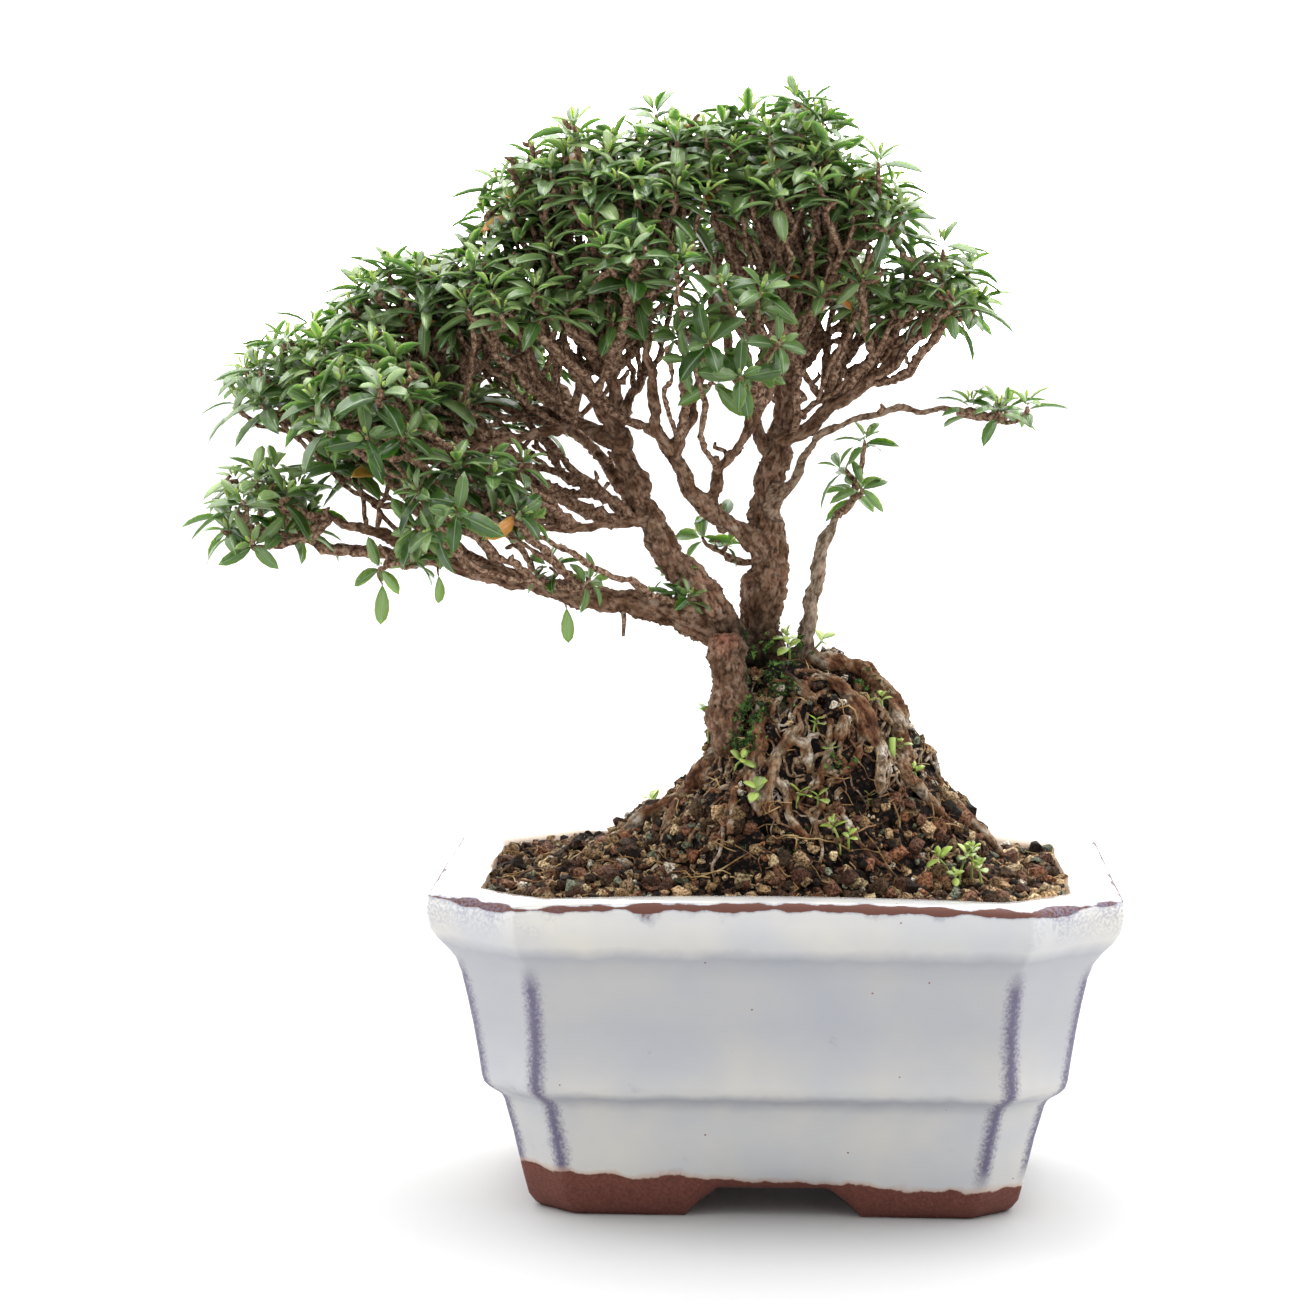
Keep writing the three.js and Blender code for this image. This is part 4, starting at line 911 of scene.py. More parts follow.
# %% Walking over the ground
FINE_ROOTS, STRAWS = 210, 460
ROOT_HEIGHTS = (88, 128, 118)  # lowest, highest and commonest start of a fine root
ROOT_RADII, STRAW_RADII = (0.25, 0.8), (0.1, 0.22)
ROOT_TAPER, ROOT_SWELL = 0.5, 0.35  # how much thinner a fine root's tip is, and how much its radius varies
MOUND_X, MOUND_Y, OUTSIDE = 5, 1, 70  # roots start where a line from outside to the mound's middle meets it
STICK, STICK_PROUD = [(-9.2, 101), (-9.7, 95.4), (-10.2, 90)], 1.2  # the dead root: across and height, gap
ROOT_MARKS = (0.9, 0.6, 0, 0)  # what the bark finish reads: root, flake, cut end, cleft shade
chance = random.Random(5)


def walk(start, heading, steps, stride, downhill, wobble, lift):
    """A line of places that follows the ground from a start, `lift` above it."""
    line, at = [], start
    for _ in range(steps):
        at, normal, _, _ = ground.find_nearest(at)
        line.append(at + normal * lift)
        slope = Vector((0, 0, -1)) + normal * normal.z
        heading = (heading + slope * downhill + toss(chance, wobble)).normalized()
        heading = (heading - normal * heading.dot(normal)).normalized()
        at = at + heading * stride
    return line


fine_roots = bmesh.new()
for _ in range(FINE_ROOTS):
    angle, height = chance.uniform(0, FULL_TURN), chance.triangular(*ROOT_HEIGHTS)
    outside = Vector((MOUND_X + OUTSIDE * math.cos(angle), MOUND_Y + OUTSIDE * math.sin(angle), height))
    start = ground.ray_cast(outside, Vector((MOUND_X, MOUND_Y, height)) - outside)[0]
    if start is None:
        continue
    thick = chance.uniform(*ROOT_RADII)
    heading = Vector((math.cos(angle * 3), math.sin(angle * 3), -1))
    line = walk(start, heading, chance.randint(8, 20), stride=1.8, downhill=0.3, wobble=0.5, lift=thick / 2)
    line = smooth_line(line, 0.9)
    radii = [thick * (1 - ROOT_TAPER * k / len(line)) * (1 + ROOT_SWELL * noise.noise(p))
             for k, p in enumerate(line)]
    tube(fine_roots, line, radii, sides=6)
stick = smooth_line([on_face(x, z, STICK_PROUD) for x, z in STICK], 1)
tube(fine_roots, stick, [0.8 + 0.2 * (k % 3) for k in range(len(stick))], sides=6)
root_marks = fine_roots.verts.layers.float_color.new("bark_marks")
root_grain = fine_roots.verts.layers.float_vector.new("grain")
for vert in fine_roots.verts:
    vert[root_marks] = ROOT_MARKS
    vert[root_grain] = vert.co
finish_piece(fine_roots, "fine_roots", bark_finish)


# %% Straw
def dry_straw(tree, place):
    """Dead grass and root fibre: dull tan, greyer where it has rotted."""
    rot = add(tree, "TexNoise", {"Vector": place, "Scale": 1 / 6, "Detail": 3})
    colour = add(tree, "ValToRGB", [rot],
                 stops=[(0.35, "#5a3d25"), (0.5, "#94703f"), (0.65, "#c4a878")])
    return {"Base Color": colour, "Roughness": 0.7}


straw = bmesh.new()
for _, corners, normal in chance.choices(ground_faces, face_weights, k=STRAWS):
    heading = Vector((chance.gauss(0, 1), chance.gauss(0, 1), 0))
    steps, stride = chance.randint(4, 9), chance.uniform(1.2, 2.4)
    line = walk(corners[0], heading, steps, stride, downhill=0, wobble=0.12, lift=chance.uniform(0.4, 1.6))
    thick = chance.uniform(*STRAW_RADII)
    tube(straw, line, [thick] * len(line), sides=3)
finish_piece(straw, "straw", make_material(dry_straw))

# %% [markdown]
# ## Where the shoots stand
#
# The crown is made of rounded pads of foliage. Every pad is an ellipsoid around the end of a limb. Points
# are spread over its outer skin at even spacing by throwing many at random and keeping each one that is far
# enough from all the others, which looks grown where a grid would look planted. A few more go inside, and
# some stand out above the rest. The pads called fill, veil, nub and gap have no solid of their own: they
# close the crown between the others, or are single tufts.

# %% Pads of foliage
Pad = namedtuple("Pad", "name middle half solids lowest lean breadth spacing size",
                 defaults=(-0.1, 0.3, 1.0, 6.3, 1.0))
# middle and half sizes in mm, number of solids it stands for, lowest rise of its leafy skin (1 is its top),
# how far its shoots lean out, breadth of its leaves, room of a shoot in mm, size of a shoot
PADS = [
    Pad("top", (-19, 6, 238), (18, 21, 16), 4, 0.0),
    Pad("peak", (5, 0, 244), (10, 15, 13), 2),
    Pad("right_dome", (20.5, -7, 228), (10, 16, 13), 2, 0.0),
    Pad("upper_left", (-43, -2, 233), (16, 20, 17), 3),
    Pad("peak_left", (-60, 3, 230), (10, 15, 13), 2),
    Pad("front", (-30, -32.5, 212), (16, 12, 16), 3, 0.62, 0.4, 1.2, 7),
    Pad("middle", (-60, -25, 206), (13, 11, 12), 2, 0.3),
    Pad("shoulder", (-86, -2, 206), (18, 18, 15), 3),
    Pad("far_left", (-115.5, -5, 191), (13, 16, 13), 2, -0.3, 0.45, 1.0, 6.8),
    Pad("front_left", (-93, -38, 184), (13, 12, 12), 2, -0.2, 0.6, 1.2, 7.2, 0.98),
    Pad("low_left", (-119, -22, 161), (11, 14, 11), 2, -0.4, 0.5, 1.0, 7.2),
    Pad("low_mid", (-94, -12, 171), (12, 12, 10), 1, 0.1, 0.4, 1.2),
    Pad("low_front", (-69, -41, 165), (15, 12, 12), 2, -0.4, 0.7, 1.25, 7.6, 0.95),
    Pad("back_left", (-73, 37, 199), (20, 15, 14), 2, -0.2, 0.4, 1.0, 7),
    Pad("back_right", (-6, 40, 226), (19, 14, 15), 2, -0.2, 0.4, 1.0, 7),
    Pad("right", (36, -4, 209), (11, 15, 12), 2, 0.0, 0.35),
    Pad("right_inner", (21, 17, 208), (10, 11, 10), 1, 0.1),
    Pad("right_tip", (52, -16, 186), (9, 6, 4), 1, 0.0, 0.25, 0.95, 6.5, 0.85),
    Pad("stem", (18, -6, 169), (4, 4, 8), 1, -0.6, 0.5, 1.0, 6, 0.75),
    Pad("drop", (-9, -33, 200), (12, 6, 18), 2, -0.6, 0.7, 1.35, 8.4, 0.84),
    Pad("heart", (-34, 16, 200), (12, 12, 12), 1, 0.5),
    Pad("inner_low", (-66, 8, 180), (12, 10, 9), 1, 0.2, 0.3, 1.1),
    Pad("nub", (-25, -14, 142.5), (6, 3, 3), 0, -0.2, 0.4, 1.3, 6, 0.7),
    Pad("gap", (-15, 6, 156), (4, 3, 5), 0, -0.5, 0.5, 1.3, 6, 0.7),
    Pad("tuft", (-48, -26, 148), (6, 4, 5), 1, -0.3, 0.7, 1.2, 8, 0.7),
    Pad("low_tuft", (-89, -34, 152), (7, 4, 5), 1, -0.6, 0.7, 1.2, 9, 0.75),
    Pad("fill_left", (-64, -6, 214), (18, 14, 12), 0, 0.1),
    Pad("fill_far", (-101, -16, 194), (14, 16, 10), 0, 0.1, 0.4),
    Pad("fill_right", (6, -12, 232), (16, 14, 14), 0, 0.2),
    Pad("fill_low", (-86, -10, 184), (18, 20, 10), 0, 0.1, 0.4, 1.1),
    Pad("fill_top", (-30, -14, 229), (20, 12, 14), 0, 0.3),
    Pad("veil_left", (-43, -21, 214), (15, 6, 12), 0, -0.6, 0.5, 1.15, 9.5, 0.86),
    Pad("veil_right", (10, -12, 212), (14, 6, 12), 0, -0.7, 0.5, 1.1, 10.5, 0.8),
]
TRIES_PER_PAD = 900
SKIN_SHARE, SKIN_DEPTH = 0.82, 0.09  # share of the tries that go to a pad's skin, and how deep that is
INNER_SHARES = (0.35, 0.85)  # how far out the others go, from the pad's middle
UNEVEN, UNEVEN_SCALE = 0.35, 0.07  # how much and how often the room of a shoot varies over the crown
BURIED = 0.72  # a shoot this deep in another pad would get no light
STRAY_SHARE, STRAY_REACH = 0.16, (3, 7.5)  # shoots that stand out above the rest and roughen the outline
chance = random.Random(23)
shoots = []  # place, direction, pad


def depth_in(point, pad):
    """Share of the way from a pad's middle to its skin."""
    return Vector([(p - m) / h for p, m, h in zip(point, pad.middle, pad.half)]).length


for pad in PADS:
    mine = []
    for _ in range(TRIES_PER_PAD):
        out = toss(chance).normalized()
        if out.z < pad.lowest:
            continue
        on_skin = chance.random() < SKIN_SHARE
        share = 1 - abs(chance.gauss(0, SKIN_DEPTH)) if on_skin else chance.uniform(*INNER_SHARES)
        at = Vector(pad.middle) + Vector([o * h for o, h in zip(out, pad.half)]) * share
        if min(depth_in(at, other) for other in PADS if other is not pad) < BURIED:
            continue
        room = pad.spacing * (1 + UNEVEN * noise.noise(at * UNEVEN_SCALE))
        if all((at - other[0]).length > room for other in mine):
            outward = Vector([o / h for o, h in zip(out, pad.half)]).normalized()
            up = Vector((0, 0, 1 - pad.lean))
            heading = (outward * pad.lean + up + noise.noise_vector(at * 0.2) * 0.4).normalized()
            if out.z > 0 and chance.random() < STRAY_SHARE:
                at = at + heading * chance.uniform(*STRAY_REACH)
            mine.append((at, heading, pad))
    shoots += mine
print(len(shoots), "shoots")

# %% [markdown]
# ## The twigs
#
# Each shoot is tied back to the wood by a twig, as a tree does it: the nearest shoots are joined first, and
# each new twig may start from a limb or from any twig already there, wherever the way is short and rises.
# Counting how many shoots hang on each bit gives its thickness, so twigs thicken towards the limbs. Two
# more kinds fill the crown, as they do in a tree that is pinched for years: bare twigs that fan up from the
# limbs, and short dead spurs.

# %% Growing the twigs
TWIG_STEP = 3.0
CELL = 12  # side of the cubes that nodes are looked up by
LOWEST_TWIG = 143  # below this height the wood is bare
MIN_RISE = 0.42  # a twig that rises less than this share of its length is costly
SAG = 0.1  # how far a twig hangs in its middle, as a share of its length
CROOK = 2.2  # how crooked it is, in mm
CROOK_SCALE, BEND, BEND_SCALE = 0.13, 0.14, 0.4  # its crooks, and the one bend in its middle
TIP_REACH, TIP_SHARE = 2.5, 0.3  # how much of its end follows the shoot: at most in mm, and of its length
SPURS, SPUR_REACH = 760, (1.8, 6)  # short leafless side twigs
SHOOT_RISES = (1, 4, 12, 22)  # how far below a shoot its twig has to start, picked by lot
FEWEST_TRIED = 4  # with fewer nodes than this around, all the limbs are tried
CROWN_FOOT = Vector((-14, 0, 140))
THICKET_TWIGS = 420  # bare twigs that fan up from the limbs and end among the leaves
THICKET_MIDDLE = (-55, 15, 165)  # between these widths and above this height the thicket is twice as dense
THICKET_LOW, THICKET_RIGHT, THICKET_RIGHT_LOW = 172, 12, 190  # lowest start, and right of x 12 a higher one
THICKET_UP, THICKET_OUT, THICKET_TOSS = 1.1, 0.7, 0.35  # what its heading is mixed from
THICKET_REACH, THICKET_RISES = (14, 42), (8, 30)  # how far it goes, and how far below its tip it may start
LONE_PADS = ("right_tip", "stem", "tuft", "low_tuft", "nub", "gap")  # close to a limb of their own
DETOURS = (0.3, 0.55, 0.75, 0.95)  # how much the way along the wood counts beside the gap, picked by lot
FALL_COST = 2.2  # a twig that would have to hang down costs this much more
TIP_RADIUS = 0.6
STEM_WAY = 60  # keeps the crown's twigs off the lone stem at the right
THICKEN = 0.34  # a twig's radius grows as the number of its shoots to this power
nodes = []  # place, parent, way from the trunk, shoots it carries
cells = {}  # nodes by the cube of space they are in, so that only near ones are tried


def cell_of(at):
    """The cube of space that a place is in."""
    return tuple(math.floor(c / CELL) for c in at)


def add_node(at, parent, way):
    """Adds a bit of twig and gives its number."""
    nodes.append([at, parent, way, 0])
    cells.setdefault(cell_of(at), []).append(len(nodes) - 1)
    return len(nodes) - 1


def near_nodes(at, reach):
    """Numbers of the nodes in the cubes around a place."""
    middle = cell_of(at)
    span = range(-reach, reach + 1)
    return [n for i in span for j in span for k in span
            for n in cells.get((middle[0] + i, middle[1] + j, middle[2] + k), ())]


for name, (_, _, points) in {**TRUNKS, **LIMBS}.items():
    way = STEM_WAY if name in YOUNG_WOOD else 0
    line = smooth_line(points, 2.5)
    for before, at in zip(line, line[1:]):
        way += (at - before).length
        if at.z > LOWEST_TWIG:
            add_node(at, None, way)
limb_nodes = len(nodes)


def tie_back(at, heading, least_rise=0.0):
    """Grows a twig from the cheapest node to a place."""
    tried = near_nodes(at, 1 if least_rise < CELL / 2 else 3)
    tried = [n for n in tried if nodes[n][0].z < at.z - least_rise]
    if len(tried) < FEWEST_TRIED:
        tried += range(limb_nodes)
    best, best_cost = None, 1e9
    detour = chance.choice(DETOURS) if least_rise else 0
    for index in tried:
        gap = at - nodes[index][0]
        fall = max(MIN_RISE - gap.z / (gap.length + 0.01), 0)
        cost = gap.length * (1 + FALL_COST * fall) + nodes[index][2] * detour
        if cost < best_cost:
            best, best_cost = index, cost
    start = nodes[best][0]
    gap = (at - start).length
    bend = start.lerp(at, 0.5) - UP * SAG * gap + noise.noise_vector(at * BEND_SCALE) * gap * BEND
    path = smooth_line([start, bend, at - heading * min(TIP_REACH, gap * TIP_SHARE), at], TWIG_STEP)
    tip, way = best, nodes[best][2]
    lot = Vector((len(nodes) * 7.3, 0, 0))  # every twig is crooked in its own way
    for number, (before, point) in enumerate(zip(path, path[1:]), 1):
        way += (point - before).length
        share = math.sin(math.pi * number / (len(path) - 1))
        tip = add_node(point + noise.noise_vector(point * CROOK_SCALE + lot) * CROOK * share, tip, way)
    while tip is not None:  # every node on the way down carries one shoot more
        nodes[tip][3] += 1
        tip = nodes[tip][1]


limb_tree = kdtree.KDTree(limb_nodes)
for index, node in enumerate(nodes):
    limb_tree.insert(node[0], index)
limb_tree.balance()
for at, heading, pad in sorted(shoots, key=lambda shoot: limb_tree.find(shoot[0])[2]):
    tie_back(at, heading, 0 if pad.name in LONE_PADS else chance.choice(SHOOT_RISES))
for _ in range(THICKET_TWIGS):
    start = nodes[chance.randrange(limb_nodes)][0]
    left_end, right_end, low_end = THICKET_MIDDLE
    in_middle = left_end < start.x < right_end and start.z > low_end
    if chance.random() < 0.5 and not in_middle:
        continue
    if start.z < THICKET_LOW or start.x > THICKET_RIGHT and start.z < THICKET_RIGHT_LOW:
        continue
    outward = (start - CROWN_FOOT).normalized()
    heading = (UP * THICKET_UP + outward * THICKET_OUT + toss(chance, THICKET_TOSS)).normalized()
    at = start + heading * chance.uniform(*THICKET_REACH)
    if min(depth_in(at, pad) for pad in PADS if pad.name != "stem") < 1:
        tie_back(at, heading, chance.uniform(*THICKET_RISES))
for _ in range(SPURS):
    start = chance.choice(nodes)[0]
    side = Vector((chance.gauss(0, 1), chance.gauss(0, 1), chance.uniform(0.2, 1.8))).normalized()
    tie_back(start + side * chance.uniform(*SPUR_REACH), side)
print(len(nodes) - limb_nodes, "twig nodes")

# %% Twigs as tubes
TWIG_RING = 1.1  # length of twig between two rings, short enough for the knobs that old leaves leave
KNOB_SHARE, KNOB_SCALE = 0.55, 1.3  # how much and how often a twig's radius varies with them
SHAKE, SHAKE_SCALE = 0.4, 0.7  # how far its line strays at every ring
THICKEST_TWIG = 2.0
children = {}
for index, node in enumerate(nodes):
    if node[1] is not None:
        children.setdefault(node[1], []).append(index)
twigs = [bmesh.new(), bmesh.new()]


def twig_radius(index):
    """Pipe rule: more shoots, thicker twig."""
    return min(TIP_RADIUS * nodes[index][3] ** THICKEN, THICKEST_TWIG)


def main_child(index):
    """The node that carries the most shoots of those that grow from this one."""
    return max(children[index], key=lambda child: nodes[child][3])


ring_count = 0
for index, (_, parent, _, _) in enumerate(nodes):
    if parent is None or parent >= limb_nodes and index == main_child(parent):
        continue  # only a node where a twig leaves a limb or another twig starts a tube
    chain = [parent, index]
    while chain[-1] in children:
        chain.append(main_child(chain[-1]))
    fine = smooth_line([nodes[k][0] for k in chain], TWIG_RING)
    fine = [p + noise.noise_vector(p * SHAKE_SCALE) * SHAKE for p in fine]
    last = len(chain) - 1
    radii = []
    for k, place in enumerate(fine):
        along = k / (len(fine) - 1) * last
        low = twig_radius(chain[max(1, min(int(along), last))])
        high = twig_radius(chain[min(int(along) + 1, last)])
        radii.append((low + (high - low) * (along % 1)) * (1 + KNOB_SHARE * noise.noise(place * KNOB_SCALE)))
    radii[-1] *= 0.5
    tube(twigs[index % 2], fine, radii, sides=5)
    ring_count += len(fine)
print(ring_count, "twig rings")


# %% Twig finish
def rough_twig(tree, place):
    """Twigs kept rough by the dry sheaths of old leaves: reddish brown, paler and flaky on their crests."""
    flakes = add(tree, "TexNoise", {"Vector": place, "Scale": 1 / 1.0, "Detail": 5, "Roughness": 0.7})
    colour = add(tree, "ValToRGB", [flakes], stops=[
        (0.36, "#33231a"), (0.45, "#6b4f3d"), (0.54, "#9a7a63"), (0.64, "#bfa68f")])
    bump = add(tree, "Bump", {"Height": flakes, "Distance": 0.6 * MM, "Strength": 1.0})
    return {"Base Color": colour, "Normal": bump, "Roughness": 0.85, "Specular IOR Level": PITTED_GLOSS}


twig_finish = make_material(rough_twig)
for number, bm in enumerate(twigs, 1):
    finish_piece(bm, f"twigs_{number}", twig_finish)

# %% [markdown]
# ## The leaves
#
# A serissa leaf is 8 to 15 mm long, pointed at both ends, leathery, folded a little along its midrib and
# arched. One leaf is a grid of a few faces moved to that outline, doubled and sewn round the rim so that it
# is a thin closed lens. Leaves stand in pairs, each pair crossed with the one below: the oldest are long
# and lie level or arch down, the youngest stand up around the tip and are bright green. A few of the oldest
# have turned orange or dropped.

# %% One leaf
LEAF_STATIONS = [(0, 0), (0.18, 0.52), (0.4, 0.92), (0.63, 1.0), (0.85, 0.72), (1, 0)]  # along, width
LEAF_WIDTH = 0.335  # of its length
LEAF_THICKNESS = 0.018  # of its length, at the midrib
LEAF_FOLD = 0.1  # how far the edges of a leaf with fold 1 rise, of its length
UNDERSIDE = 2  # how far the underside's uv stands to the side, by which the finish knows it


def leaf_template(name, arch, fold):
    """A leaf one unit long from its base at the origin to its tip along +x, its upper side to +z."""
    bm = bmesh.new()
    bmesh.ops.create_grid(bm, x_segments=len(LEAF_STATIONS) - 1, y_segments=2, size=0.5)
    skin = bm.loops.layers.uv.new("leaf")
    for vert in bm.verts:
        station = round((vert.co.x + 0.5) * (len(LEAF_STATIONS) - 1))
        side = round(vert.co.y * 2)
        along, width = LEAF_STATIONS[station]
        rise = fold * abs(side) * width * LEAF_FOLD - arch * along ** 2
        vert.co = (along, side * width * LEAF_WIDTH / 2, rise)
    shade_smooth(bm)
    for face in bm.faces:
        for loop in face.loops:
            loop[skin].uv = (loop.vert.co.x, 0.5 + loop.vert.co.y / LEAF_WIDTH)
    under = bmesh.ops.duplicate(bm, geom=bm.faces[:])["geom"]
    under_faces = [g for g in under if isinstance(g, bmesh.types.BMFace)]
    bmesh.ops.reverse_faces(bm, faces=under_faces)
    for face in under_faces:
        for loop in face.loops:
            loop[skin].uv.x += UNDERSIDE
    for vert in dict.fromkeys(v for f in under_faces for v in f.verts):
        if abs(vert.co.y) < 0.001 and 0.01 < vert.co.x < 0.99:
            vert.co.z -= LEAF_THICKNESS
    bmesh.ops.remove_doubles(bm, verts=bm.verts, dist=0.004)
    return template_mesh(bm, name)


leaves = [leaf_template("leaf_level", 0.18, 0.9), leaf_template("leaf_arched", 0.36, 0.8),
          leaf_template("leaf_bent", 0.55, 0.6), leaf_template("leaf_cupped", 0.04, 1.6)]
print("leaf of", len(leaves[0].polygons), "faces")

# %% A shoot of crossed pairs
PAIRS = [  # height up the shoot, length, lift in degrees, age from 0 old to 1 young, templates to pick from
    (-2.8, 11.4, 2, 0.04, (0, 1, 2)), (-1.4, 12.4, 18, 0.1, (1, 1, 2)), (0.2, 11.2, 34, 0.18, (1, 2, 2)),
    (1.5, 7.8, 50, 0.32, (0, 1)), (2.4, 3.6, 72, 0.62, (3,)),
]
SPIN_ERROR, LIFT_ERROR, ROLL_ERROR = 0.16, 9, 0.22  # how far a leaf turns from its place; lift in degrees
LENGTHS, BREADTHS = (0.85, 1.12), (0.85, 1.15)  # how much leaves of one pair differ
DYING_SHARE = 0.012  # old leaves that have turned orange
FALLEN_SHARE = 0.35  # leaves of the lowest pair that have dropped


def grow_shoot(bm, at, heading, size, spin, youth, breadth):
    """Sets pairs of leaves on a shoot's tip."""
    stand = Matrix.Translation(at) @ turned_to(UP, heading)
    for number, (rise, length, lift, age, kinds) in enumerate(PAIRS):
        for side in (0, 1):
            if number == 0 and chance.random() < FALLEN_SHARE:
                continue
            turn = spin + number * math.pi / 2 + side * math.pi + chance.gauss(0, SPIN_ERROR)
            tilt = math.radians(lift + chance.gauss(0, LIFT_ERROR))
            long = length * size * chance.uniform(*LENGTHS)
            local = Matrix.Rotation(turn, 4, "Z") @ Matrix.Translation((0.5, 0, rise * size)) \
                @ Matrix.Rotation(-tilt, 4, "Y") @ Matrix.Rotation(chance.gauss(0, ROLL_ERROR), 4, "X")
            wide = chance.uniform(*BREADTHS) * breadth
            place = stand @ local @ Matrix.Diagonal((long, long * wide, long, 1))
            leaf_age = min(max(age + youth + chance.gauss(0, 0.06), -0.1), 1)
            dying = 1 if number < 2 and chance.random() < DYING_SHARE else 0
            strew(bm, leaves[chance.choice(kinds)], place, (leaf_age, chance.random(), dying, 1))


# %% Leaf finish
def leathery_leaf(tree, place):
    """Living leaves: waxy, so they take a pale sheen, deep green when old and yellow-green when new."""
    tint = add(tree, "Attribute", attribute_name="tint")
    age, lot, dying = add(tree, "SeparateColor", [tint])
    skin = add(tree, "UVMap", uv_map="leaf")
    along, across, _ = add(tree, "SeparateXYZ", [skin])
    blotch = add(tree, "TexNoise", {"Vector": place, "Scale": 1 / 5, "Detail": 3})
    spread = add(tree, "Math", [lot, 0.26, -0.13], operation="MULTIPLY_ADD")
    grown = add(tree, "Math", [age, spread], operation="ADD")
    uneven = add(tree, "Math", [blotch, 0.16, grown], operation="MULTIPLY_ADD")
    green = add(tree, "ValToRGB", [uneven], stops=[
        (0.0, "#2c491a"), (0.16, "#506b3a"), (0.34, "#6f8655"), (0.62, "#8fa565"), (0.95, "#b0cf5c")])
    beneath = add(tree, "Math", [along, 1.5], operation="GREATER_THAN")
    pale = add(tree, "Mix", {FACTOR: 0.4, A: green, B: linear("#7f9c58")})
    two_sided = add(tree, "Mix", {FACTOR: beneath, A: green, B: pale})
    centred = add(tree, "Math", [across, 0.5], operation="SUBTRACT")
    off_rib = add(tree, "Math", [centred], operation="ABSOLUTE")
    rib = add(tree, "MapRange", {"Value": off_rib, "From Min": 0.05, "From Max": 0.015})
    rib_share = add(tree, "Math", [rib, 0.45], operation="MULTIPLY")
    ribbed = add(tree, "Mix", {FACTOR: rib_share, A: two_sided, B: linear("#9dbb78")})
    bump = add(tree, "Bump", {"Height": rib, "Distance": 0.25 * MM, "Strength": 0.6}, invert=True)
    colour = add(tree, "Mix", {FACTOR: dying, A: ribbed, B: linear("#c0813c")})
    return {
        "Base Color": colour, "Normal": bump, "Roughness": 0.28, "Specular IOR Level": 0.45,
        "Coat Weight": 0.35, "Coat Roughness": 0.25, "Subsurface Weight": 0.35,
        "Subsurface Radius": (0.4, 0.7, 0.12), "Subsurface Scale": 0.6 * MM, "IOR": 1.45,
    }


leaf_finish = make_material(leathery_leaf)

# %% Leaves on every pad
SHOOT_SIZES = (0.68, 0.92)
YOUNG_SHARE, YOUNGER = 0.3, 0.12  # shoots in the upper half of a pad that are new, and by how much
SHADED_BREADTH, PAINTED_SHADE_AGE = 1.15, -0.1  # leaves broader than this grew in the shade and are old; they get the darkest green, partly for their age and partly as painted shade
total_leaves = 0
for pad in PADS:
    foliage = bmesh.new()
    for at, heading, owner in shoots:
        if owner is not pad:
            continue
        size = pad.size * chance.uniform(*SHOOT_SIZES)
        youth = YOUNGER if at.z > pad.middle[2] and chance.random() < YOUNG_SHARE else 0
        # painted shade: the broad leaves of the low front pads are set darker than their age
        if pad.breadth > SHADED_BREADTH:
            youth = PAINTED_SHADE_AGE
        grow_shoot(foliage, at, heading, size, chance.uniform(0, FULL_TURN), youth, pad.breadth)
    spray_nodes = [f"spray_{pad.name}_{k}" for k in range(1, pad.solids + 1)]
    total_leaves += len(foliage.faces) // len(leaves[0].polygons)
    finish_piece(foliage, f"foliage_{pad.name}", leaf_finish, spray_nodes)
print(total_leaves, "leaves")

# %% [markdown]
# ## Moss and sprouts
#
# The mound stays damp, so cushion moss grows in its hollows and around the foot of the trunks, and suckers
# and seedlings come up with leaves that are still soft and yellow-green. Moss is too fine to model leaf by
# leaf: many small grains in greens give its cushion. The sprouts use the same leaf as the crown, small.
# Three single leaves that hang under the lowest limb and the stub of a twig there are made with them.

# %% Moss
MOSS = [  # middle, reach, grains
    ((0, -15, 122), 4, 420), ((-6, -18, 117), 3.4, 420), ((-6.5, -20, 110), 3.2, 420),
    ((-3, -10, 131), 4, 140), ((3, -7, 130), 4, 140), ((22, -12, 122), 4, 60), ((12, 12, 126), 6, 260),
    ((-14, 14, 114), 6, 260), ((15, -24, 106), 3, 60), ((-3, 4, 131), 5, 160), ((4, -28, 90), 5, 60),
    ((-3, -30, 84), 4, 60),
]
MOSS_TINTS = ["#22380f", "#30501a", "#426b26", "#1d2a0e", "#64883a"]
tuft = bmesh.new()
bmesh.ops.create_cone(tuft, segments=3, radius1=0.5, radius2=0, depth=1.2, cap_ends=True)
moss_grain = template_mesh(tuft, "moss_grain")
moss = bmesh.new()
for middle, reach, grains in MOSS:
    for _ in range(grains):
        thrown = Vector(middle) + toss(chance, reach * 0.5)
        on_soil, on_wood = ground.find_nearest(thrown), wood_surface.find_nearest(thrown)
        at, normal, _, _ = min(on_soil, on_wood, key=lambda found: found[3])
        green = linear(chance.choice(MOSS_TINTS))
        turn = turned_to(UP, normal + toss(chance, 0.5))
        size = Matrix.Scale(chance.uniform(0.6, 1.3), 4)
        strew(moss, moss_grain, Matrix.Translation(at) @ turn @ size, green)


def cushion_moss(tree, place):
    """Moss: soft green grains, each in one of a few greens."""
    tint = add(tree, "Attribute", attribute_name="tint")
    fuzz = add(tree, "TexNoise", {"Vector": place, "Scale": 1 / 0.4, "Detail": 2})
    bump = add(tree, "Bump", {"Height": fuzz, "Distance": 0.3 * MM, "Strength": 1.0})
    return {"Base Color": tint, "Normal": bump, "Roughness": 0.9}


finish_piece(moss, "moss", make_material(cushion_moss))

